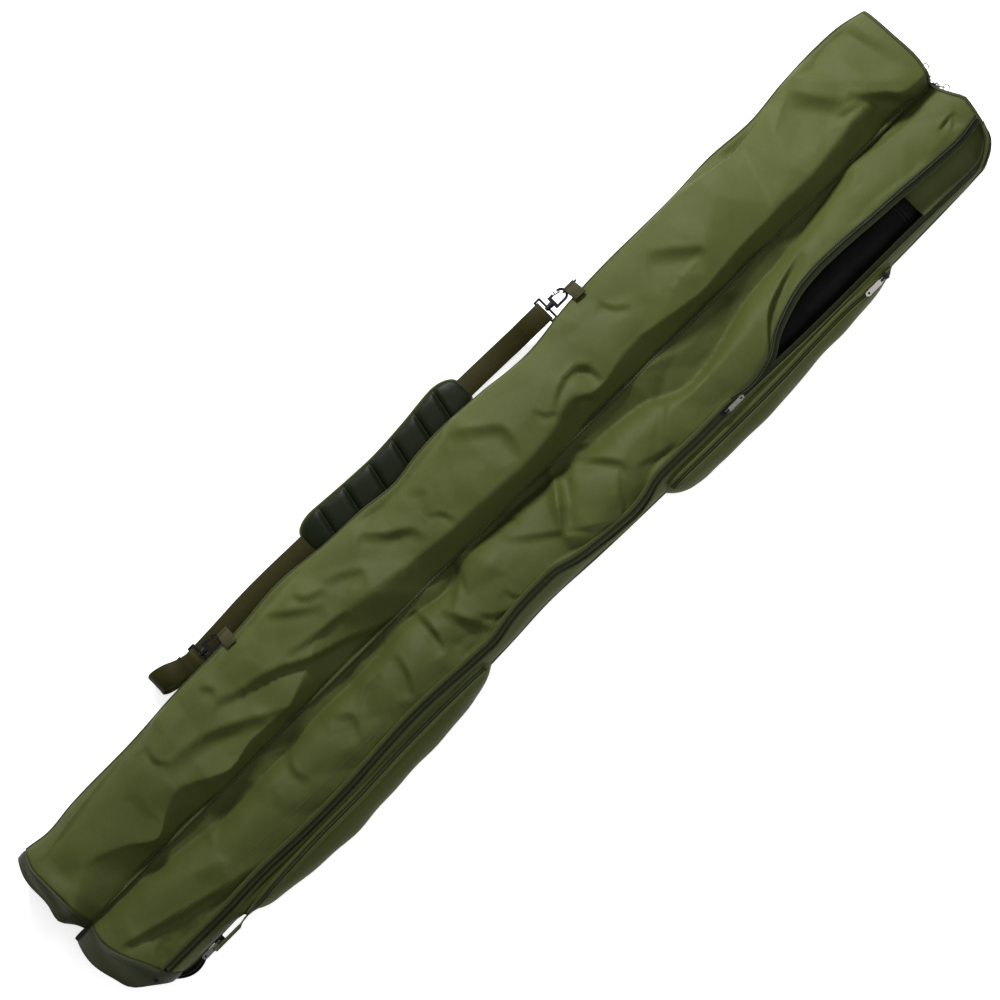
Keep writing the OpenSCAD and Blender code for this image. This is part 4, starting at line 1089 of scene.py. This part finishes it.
y_top = np.linspace(-0.12, 0.12, 60)
top_path = points_of(TOP_X - 0.0118, y_top, 0.052)
top_tape = sweep("top_tape", top_path, (1, 0, 0), flat_section(0.016, 0.0014), TAPE)
top_coil = beads("top_coil", [(top_path + np.array([0.0012, 0, 0]), (1, 0, 0))], COIL_PITCH,
                 (0.0016, 0.006, 0.0016), COIL, COIL_TILT)
stands_for(joined("top_zip", [top_tape, top_coil]), "bag", "zip_tape", "top_zip_chain")
print("top end made")

# %% [markdown]
# Inside the mouth lies a black foam sleeve that holds the rods' tips. It is a padded tube, so it gets a
# rounded end, a sewn channel near that end and a few soft creases across it.

# %% The rod sleeve
SLEEVE_LOW, SLEEVE_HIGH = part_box("rod_sleeve")
sleeve_centre = ((SLEEVE_LOW.y + SLEEVE_HIGH.y) / 2 - 0.004, (SLEEVE_LOW.z + SLEEVE_HIGH.z) / 2)
sleeve_half = ((SLEEVE_HIGH.y - SLEEVE_LOW.y) / 2 + 0.002, (SLEEVE_HIGH.z - SLEEVE_LOW.z) / 2)
turn = np.linspace(0, 2 * np.pi, 49)[:-1]
body_x = np.linspace(SLEEVE_LOW.x, SLEEVE_HIGH.x - 0.012, 150)
end_turn = np.radians(np.linspace(10, 90, 8))
sleeve_x = np.concatenate([body_x, SLEEVE_HIGH.x - 0.012 + 0.013 * np.sin(end_turn),
                           np.full(3, SLEEVE_HIGH.x + 0.001)])
sleeve_scale = np.concatenate([0.72 + 0.28 * step(body_x, SLEEVE_LOW.x, SLEEVE_LOW.x + 0.09),
                               0.72 + 0.28 * np.cos(end_turn), [0.5, 0.25, 0.06]])
channel = 0.0022 * (np.exp(-((sleeve_x - 0.788) / 0.0022) ** 2) + np.exp(-((sleeve_x - 0.560) / 0.0022) ** 2))
crease = 0.0012 * np.sin(sleeve_x * 63)[:, None] * np.sin(2 * turn + sleeve_x[:, None] * 9)
sleeve_reach = sleeve_scale[:, None] - (channel[:, None] + crease) / 0.04
sleeve_points = points_of(sleeve_x[:, None], sleeve_centre[0] + sleeve_half[0] * sleeve_reach * np.cos(turn),
                          sleeve_centre[1] + sleeve_half[1] * sleeve_reach * np.sin(turn))
sleeve = grid_object("foam_sleeve", sleeve_points[:, ::-1], FOAM_BLACK, around=True)
thicken(sleeve, 0.003)
sleeve_lines = [(points_of(x, sleeve_centre[0] + sleeve_half[0] * 0.985 * np.cos(turn),
                           sleeve_centre[1] + sleeve_half[1] * 0.985 * np.sin(turn)),
                 points_of(0.0, np.cos(turn), np.sin(turn))) for x in (0.7845, 0.7915)]
sleeve_stitches = beads("sleeve_stitches", sleeve_lines, 0.004, (0.003, 0.001, 0.0008), THREAD_DARK)
sleeve = joined("foam_sleeve", [sleeve, sleeve_stitches])
stands_for(sleeve, "bag", "neoprene", "rod_sleeve")

# %% [markdown]
# Past the sleeve the mouth shows the loose lining, which hangs from the gusset's edge and bellies inwards
# just below the opening. It is one sheet of thin nylon, cut nearly flat and held along one edge.

# %% The loose lining in the mouth
lx, ls = np.meshgrid(np.linspace(0.812, TOP_X - 0.0008, 60), np.linspace(0, 1, 28), indexing="ij")
outer_edge = zip_edge(lx) - 0.0015
inner_edge = -0.046 - 0.042 * step(lx, 0.925, 0.960)
ly = outer_edge * (1 - ls) + inner_edge * ls
edge_z = lobe_point(lx, plan_share(lx, outer_edge, -1), -1)[..., 2] - 0.005
lz = (edge_z - (0.013 + 0.018 * (1 - step(lx, 0.80, 0.85))) * ls ** 0.8 * (1 - 0.7 * step(lx, 0.92, 0.97))
      - 0.003 * np.sin(ls * np.pi) * (1 + 0.4 * np.sin(lx * 45)))
loose_points = warped(points_of(lx, ly, lz), -1)
loose = grid_object("loose_lining", loose_points, LINING)
thicken(loose, 0.0008)
stands_for(loose, "bag", "lining")

# %% [markdown]
# The padded divider stands along the middle of the bag, and three pairs of hook-and-loop straps lie
# across the floor of the two compartments. Both are flat sections swept along a path.

# %% The divider and the straps inside
DIVIDER_LOW, DIVIDER_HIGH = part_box("rod_divider")
divider_x = np.linspace(DIVIDER_LOW.x + 0.002, DIVIDER_HIGH.x, 120)
divider_path = points_of(divider_x, 0.0009 * np.sin(divider_x * 21), (DIVIDER_LOW.z + DIVIDER_HIGH.z) / 2)
divider_section = flat_section(DIVIDER_HIGH.z - DIVIDER_LOW.z, 0.004)
divider = sweep("padded_divider", divider_path, (0, 1, 0), divider_section, LINING)
stands_for(divider, "bag", "lining", "rod_divider")

for number in (1, 2, 3):
    low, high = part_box(f"rod_strap_{number}")
    middle = (low.x + high.x) / 2
    bands = []
    for start, end in ((0.006, high.y), (-0.006, low.y)):
        y = np.linspace(start, end, 24)
        z = 0.0052 + 0.0012 * np.abs(np.sin(y * 60))
        path = points_of(middle, y, z)
        bands.append(sweep("band", path, (0, 0, 1), flat_section(high.x - low.x, 0.0018), FOAM_BLACK))
        patch = path[14:22] + np.array([0, 0, 0.0014])
        bands.append(sweep("loop_patch", patch, (0, 0, 1), flat_section(0.022, 0.001), BINDING))
    stands_for(joined(f"hook_and_loop_{number}", bands), "bag", "neoprene", f"rod_strap_{number}")
print("inside made")

# %% [markdown]
# At the foot of the zips a black stiffened tab gives the hand something to hold. It is a lens of black foam
# cloth with a bound edge, and a row of stitches runs along that edge.

# %% The end tab
TAB_LOW, TAB_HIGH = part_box("zip_end_tab")
tab_share = np.linspace(0, 1, 40)
tab_path = points_of(TAB_LOW.x + 0.002 + tab_share * (TAB_HIGH.x - TAB_LOW.x - 0.004), -0.1615,
                     0.0476 + 0.004 * np.sin(tab_share * np.pi))
tab_width = np.maximum(np.sin(np.pi * tab_share) ** 0.75, 0.12)
tab = sweep("end_tab_cloth", tab_path, (0, 0, 1), flat_section(0.036, 0.0026), FOAM_BLACK, tab_width)
rim = tab_path.copy()
rim[:, 1] -= 0.0172 * tab_width
tab_rim = sweep("rim", rim, (0, 0, 1), round_section(0.0021, 8), FOAM_BLACK)
rim_line = rim + np.array([0, 0.0035, 0.0016])
tab_stitches = beads("tab_stitches", [(rim_line, (0, 0, 1))], 0.0036, (0.0026, 0.0009, 0.0007), THREAD_OLIVE)
stands_for(joined("end_tab", [tab, tab_rim, tab_stitches]), "bag", "neoprene", "zip_end_tab")

# %% [markdown]
# The strap's webbing is a ribbon that keeps its width across Y while its path rises, wraps a ring's bar
# and comes back under itself. A ribbon helper works out which way is up from the path and the width.

# %% The ring tabs and the webbing
KNOT_STEPS = 6
WEB_THICK = 0.0018
WEB_WIDTH = 0.036
BAR_WRAP = (10, 50, 90, 130, 170)

def ribbon(name, knots, across, width, thickness, material):
    """A flat band through knots, kept level across the given direction."""
    knots = np.array(knots, float)
    run = run_along(knots)
    path = through_knots(knots, run, np.linspace(0, run[-1], len(knots) * KNOT_STEPS))
    forward = unit(np.gradient(path, axis=0))
    ups = unit(np.cross(np.array(across, float), forward))
    return sweep(name, path, ups, flat_section(width, thickness), material), path, ups

RING_Y = (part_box("upper_d_ring")[0].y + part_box("upper_d_ring")[1].y) / 2
RING_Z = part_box("upper_d_ring")[1].z - 0.00175
for name, ring_node, tab_node in (("upper_tab", "upper_d_ring", "upper_ring_tab"),
                                  ("lower_tab", "lower_d_ring", "lower_ring_tab")):
    middle = (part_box(ring_node)[0].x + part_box(ring_node)[1].x) / 2
    wrap = [(middle, RING_Y + 0.0033 * math.cos(a), RING_Z + 0.0033 * math.sin(a))
            for a in np.radians([75, 35, 0, -40, -90, -140, -175])]
    knots = [(middle, 0.1575, 0.0755), (middle, 0.165, 0.0695), (middle, 0.175, 0.0575), *wrap,
             (middle, 0.1735, 0.0475), (middle, 0.1655, 0.0585)]
    tab, path, ups = ribbon(name + "_band", knots, (1, 0, 0), 0.022, WEB_THICK, WEBBING)
    lines = [(path[4:14] + ups[4:14] * 0.001 + np.array([dx, 0, 0]), ups[4:14]) for dx in (-0.0085, 0.0085)]
    sewn = beads(name + "_stitches", lines, 0.0034, (0.0026, 0.001, 0.0008), THREAD_DARK)
    stands_for(joined(name, [tab, sewn]), "bag", "webbing", tab_node)

BAR_Z = 0.034
def bar_wrap(bar_x, turns):
    return [(bar_x + 0.0034 * math.sin(a), RING_Y, BAR_Z + 0.0034 * math.cos(a)) for a in np.radians(turns)]

UPPER_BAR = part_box("upper_strap_ring")[0].x + 0.002
LOWER_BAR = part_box("lower_strap_ring")[0].x + 0.002
PAD_LOW, PAD_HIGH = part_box("shoulder_pad")
upper_knots = [(PAD_HIGH.x - 0.012, 0.1875, 0.006), (0.12, 0.1868, 0.0048), (0.150, 0.186, 0.005),
               (0.18, 0.185, 0.010), (0.205, 0.1838, 0.0185), (0.238, 0.183, 0.0335), (0.258, 0.1825, 0.0372),
               *bar_wrap(UPPER_BAR, BAR_WRAP), (0.258, 0.1825, 0.0312), (0.238, 0.183, 0.0283),
               (0.222, 0.1835, 0.0215)]
upper_band, upper_path, upper_ups = ribbon("upper_band", upper_knots, (0, -1, 0), WEB_WIDTH, WEB_THICK,
                                           WEBBING)
lower_knots = [(PAD_LOW.x + 0.012, 0.1875, 0.006), (-0.30, 0.1885, 0.0042), (-0.36, 0.190, 0.004),
               (-0.42, 0.1895, 0.004), (-0.47, 0.187, 0.004), (-0.52, 0.185, 0.004), (-0.569, 0.1847, 0.004),
               (-0.592, 0.188, 0.0044), (-0.608, 0.193, 0.009), (-0.6150, 0.1985, 0.020),
               (-0.609, 0.202, 0.031),
               (-0.592, 0.199, 0.0368), (-0.565, 0.188, 0.0352), (-0.546, 0.1832, 0.0372),
               *bar_wrap(LOWER_BAR, BAR_WRAP), (-0.546, 0.1828, 0.0310), (-0.562, 0.185, 0.0305)]
lower_band, lower_path, lower_ups = ribbon("lower_band", lower_knots, (0, -1, 0), WEB_WIDTH, WEB_THICK,
                                           WEBBING)

def cross_stitches(name, path, ups, places):
    """Rows of stitches right across a ribbon where it is sewn, at those x places on its upper run."""
    lines = []
    for x in places:
        i = int(np.argmin(np.abs(path[:, 0] - x) - path[:, 2] * 0.5))
        up = ups[i] * np.sign(ups[i, 2])
        for shift in (-0.0012, 0.0012):
            row = path[i] + points_of(shift, np.linspace(-0.0165, 0.0165, 12), 0.0) + up * 0.0011
            lines.append((row, up))
    return beads(name, lines, 0.003, (0.0022, 0.0009, 0.0007), THREAD_DARK)

upper_sewn = cross_stitches("sewn", upper_path, upper_ups, (0.226, 0.244))
upper_web = joined("upper_webbing_band", [upper_band, upper_sewn])
stands_for(upper_web, "strap", "webbing", "upper_webbing")
lower_sewn = cross_stitches("sewn", lower_path, lower_ups, (-0.556, -0.549))
lower_web = joined("lower_webbing_band", [lower_band, lower_sewn])
stands_for(lower_web, "strap", "webbing", "lower_webbing")
print("webbing made")

# %% [markdown]
# The shoulder pad is seven foam cells between slanting sewn channels. Its section is a flat-bottomed
# cushion, thick in the middle of each cell and thin at the channels, and a lighter cord binds its edge.

# %% The shoulder pad
pad_rows, pad_columns = 220, 40
pad_x = np.linspace(PAD_LOW.x - 0.004, PAD_HIGH.x - 0.004, pad_rows)
pad_end = np.clip(np.minimum(pad_x - pad_x[0], pad_x[-1] - pad_x) / 0.045, 0, 1)
pad_half = 0.0135 + 0.022 * np.sqrt(1 - (1 - pad_end) ** 2)
PAD_LINE = [(-0.275, 0.189), (-0.235, 0.186), (-0.15, 0.180), (-0.10, 0.178), (-0.03, 0.1815), (0.05, 0.1885),
            (0.09, 0.188)]
pad_y = smooth_line(PAD_LINE, pad_x)
spread = np.linspace(-1, 1, pad_columns // 2)
across = np.concatenate([spread, spread[::-1]])
is_top = np.concatenate([np.zeros(pad_columns // 2), np.ones(pad_columns // 2)])
CHANNELS = (-0.2285, -0.1735, -0.117, -0.063, -0.007, 0.0415)
SLANT, PAD_FLOOR, PAD_EDGE_THICK, PAD_PUFF, PAD_ROUND = 0.0075, 0.0008, 0.0030, 0.0128, 3.2
slanted = pad_x[:, None] - SLANT * across[None]
groove = sum(np.exp(-(np.abs(slanted - channel) / 0.0045) ** 1.2) for channel in CHANNELS)
rim = np.sqrt(np.clip(1 - np.abs(across) ** PAD_ROUND, 0, 1))[None]
thick = PAD_EDGE_THICK + PAD_PUFF * rim * (1 - 0.62 * np.clip(groove, 0, 1))
puff = thick * (0.35 + 0.65 * np.sqrt(pad_end))[:, None]
puff = np.where(np.abs(across)[None] > 0.999, PAD_EDGE_THICK, puff)
pad_z = np.where(is_top[None] > 0, PAD_FLOOR + puff, 0.0006)
pad_points = points_of(pad_x[:, None], pad_y[:, None] + pad_half[:, None] * across[None], pad_z)
pad = grid_object("ribbed_pad_cloth", pad_points[:, ::-1], PAD_CLOTH, around=True, caps=True)
pad_edge = [points_of(pad_x, pad_y + s * pad_half, 0.0036) for s in (-1, 1)]
edge_path = np.concatenate([pad_edge[0], pad_edge[1][::-1], pad_edge[0][:1]])
keep = np.concatenate([[True], np.linalg.norm(np.diff(edge_path, axis=0), axis=1) > 1e-4])
pad_binding = sweep("binding", edge_path[keep], (0, 0, 1), round_section(0.0023, 8), OLIVE)
channel_lines = []
for channel in CHANNELS:
    v = np.linspace(-0.93, 0.93, 40)
    x = channel + SLANT * v
    y = np.interp(x, pad_x, pad_y) + v * np.interp(x, pad_x, pad_half)
    round_top = np.sqrt(np.clip(1 - np.abs(v) ** PAD_ROUND, 0, 1))
    z = PAD_FLOOR + PAD_EDGE_THICK + PAD_PUFF * round_top * 0.38 + 0.0004
    channel_lines.append((points_of(x, y, z), (0, 0, 1)))
pad_stitches = beads("pad_stitches", channel_lines, 0.0038, (0.0028, 0.001, 0.0008), THREAD_DARK)
pad = joined("ribbed_pad", [pad, pad_binding, pad_stitches])
stands_for(pad, "strap", "pad_fabric", "shoulder_pad")
print("pad made")

# %% [markdown]
# Two rows of stitches round each base cap's seam finish the shell. They follow the cap's own outline.

# %% Stitches on the caps
cap_lines = []
for side, seam in ((1, LEFT_SEAM), (-1, RIGHT_SEAM)):
    ring = lobe_ring(CAP_X, side)[1 if side > 0 else 9:25]
    centre = cap_centre(side)
    ups = unit(np.column_stack([np.zeros(len(ring)), ring - centre]))
    for back_off in (0.0035, 0.0085):
        x = smooth_line(seam, ring[:, 0]) - back_off
        grown = centre + (ring - centre) * 1.012
        cap_lines.append((np.column_stack([x, grown]) + ups * 0.0012, ups))
cap_stitches = beads("cap_stitches", cap_lines, 0.0042, (0.0031, 0.0011, 0.0008), THREAD_DARK)
stands_for(cap_stitches, "bag", "base_fabric")
print("cap stitches", len(cap_lines), "rows")
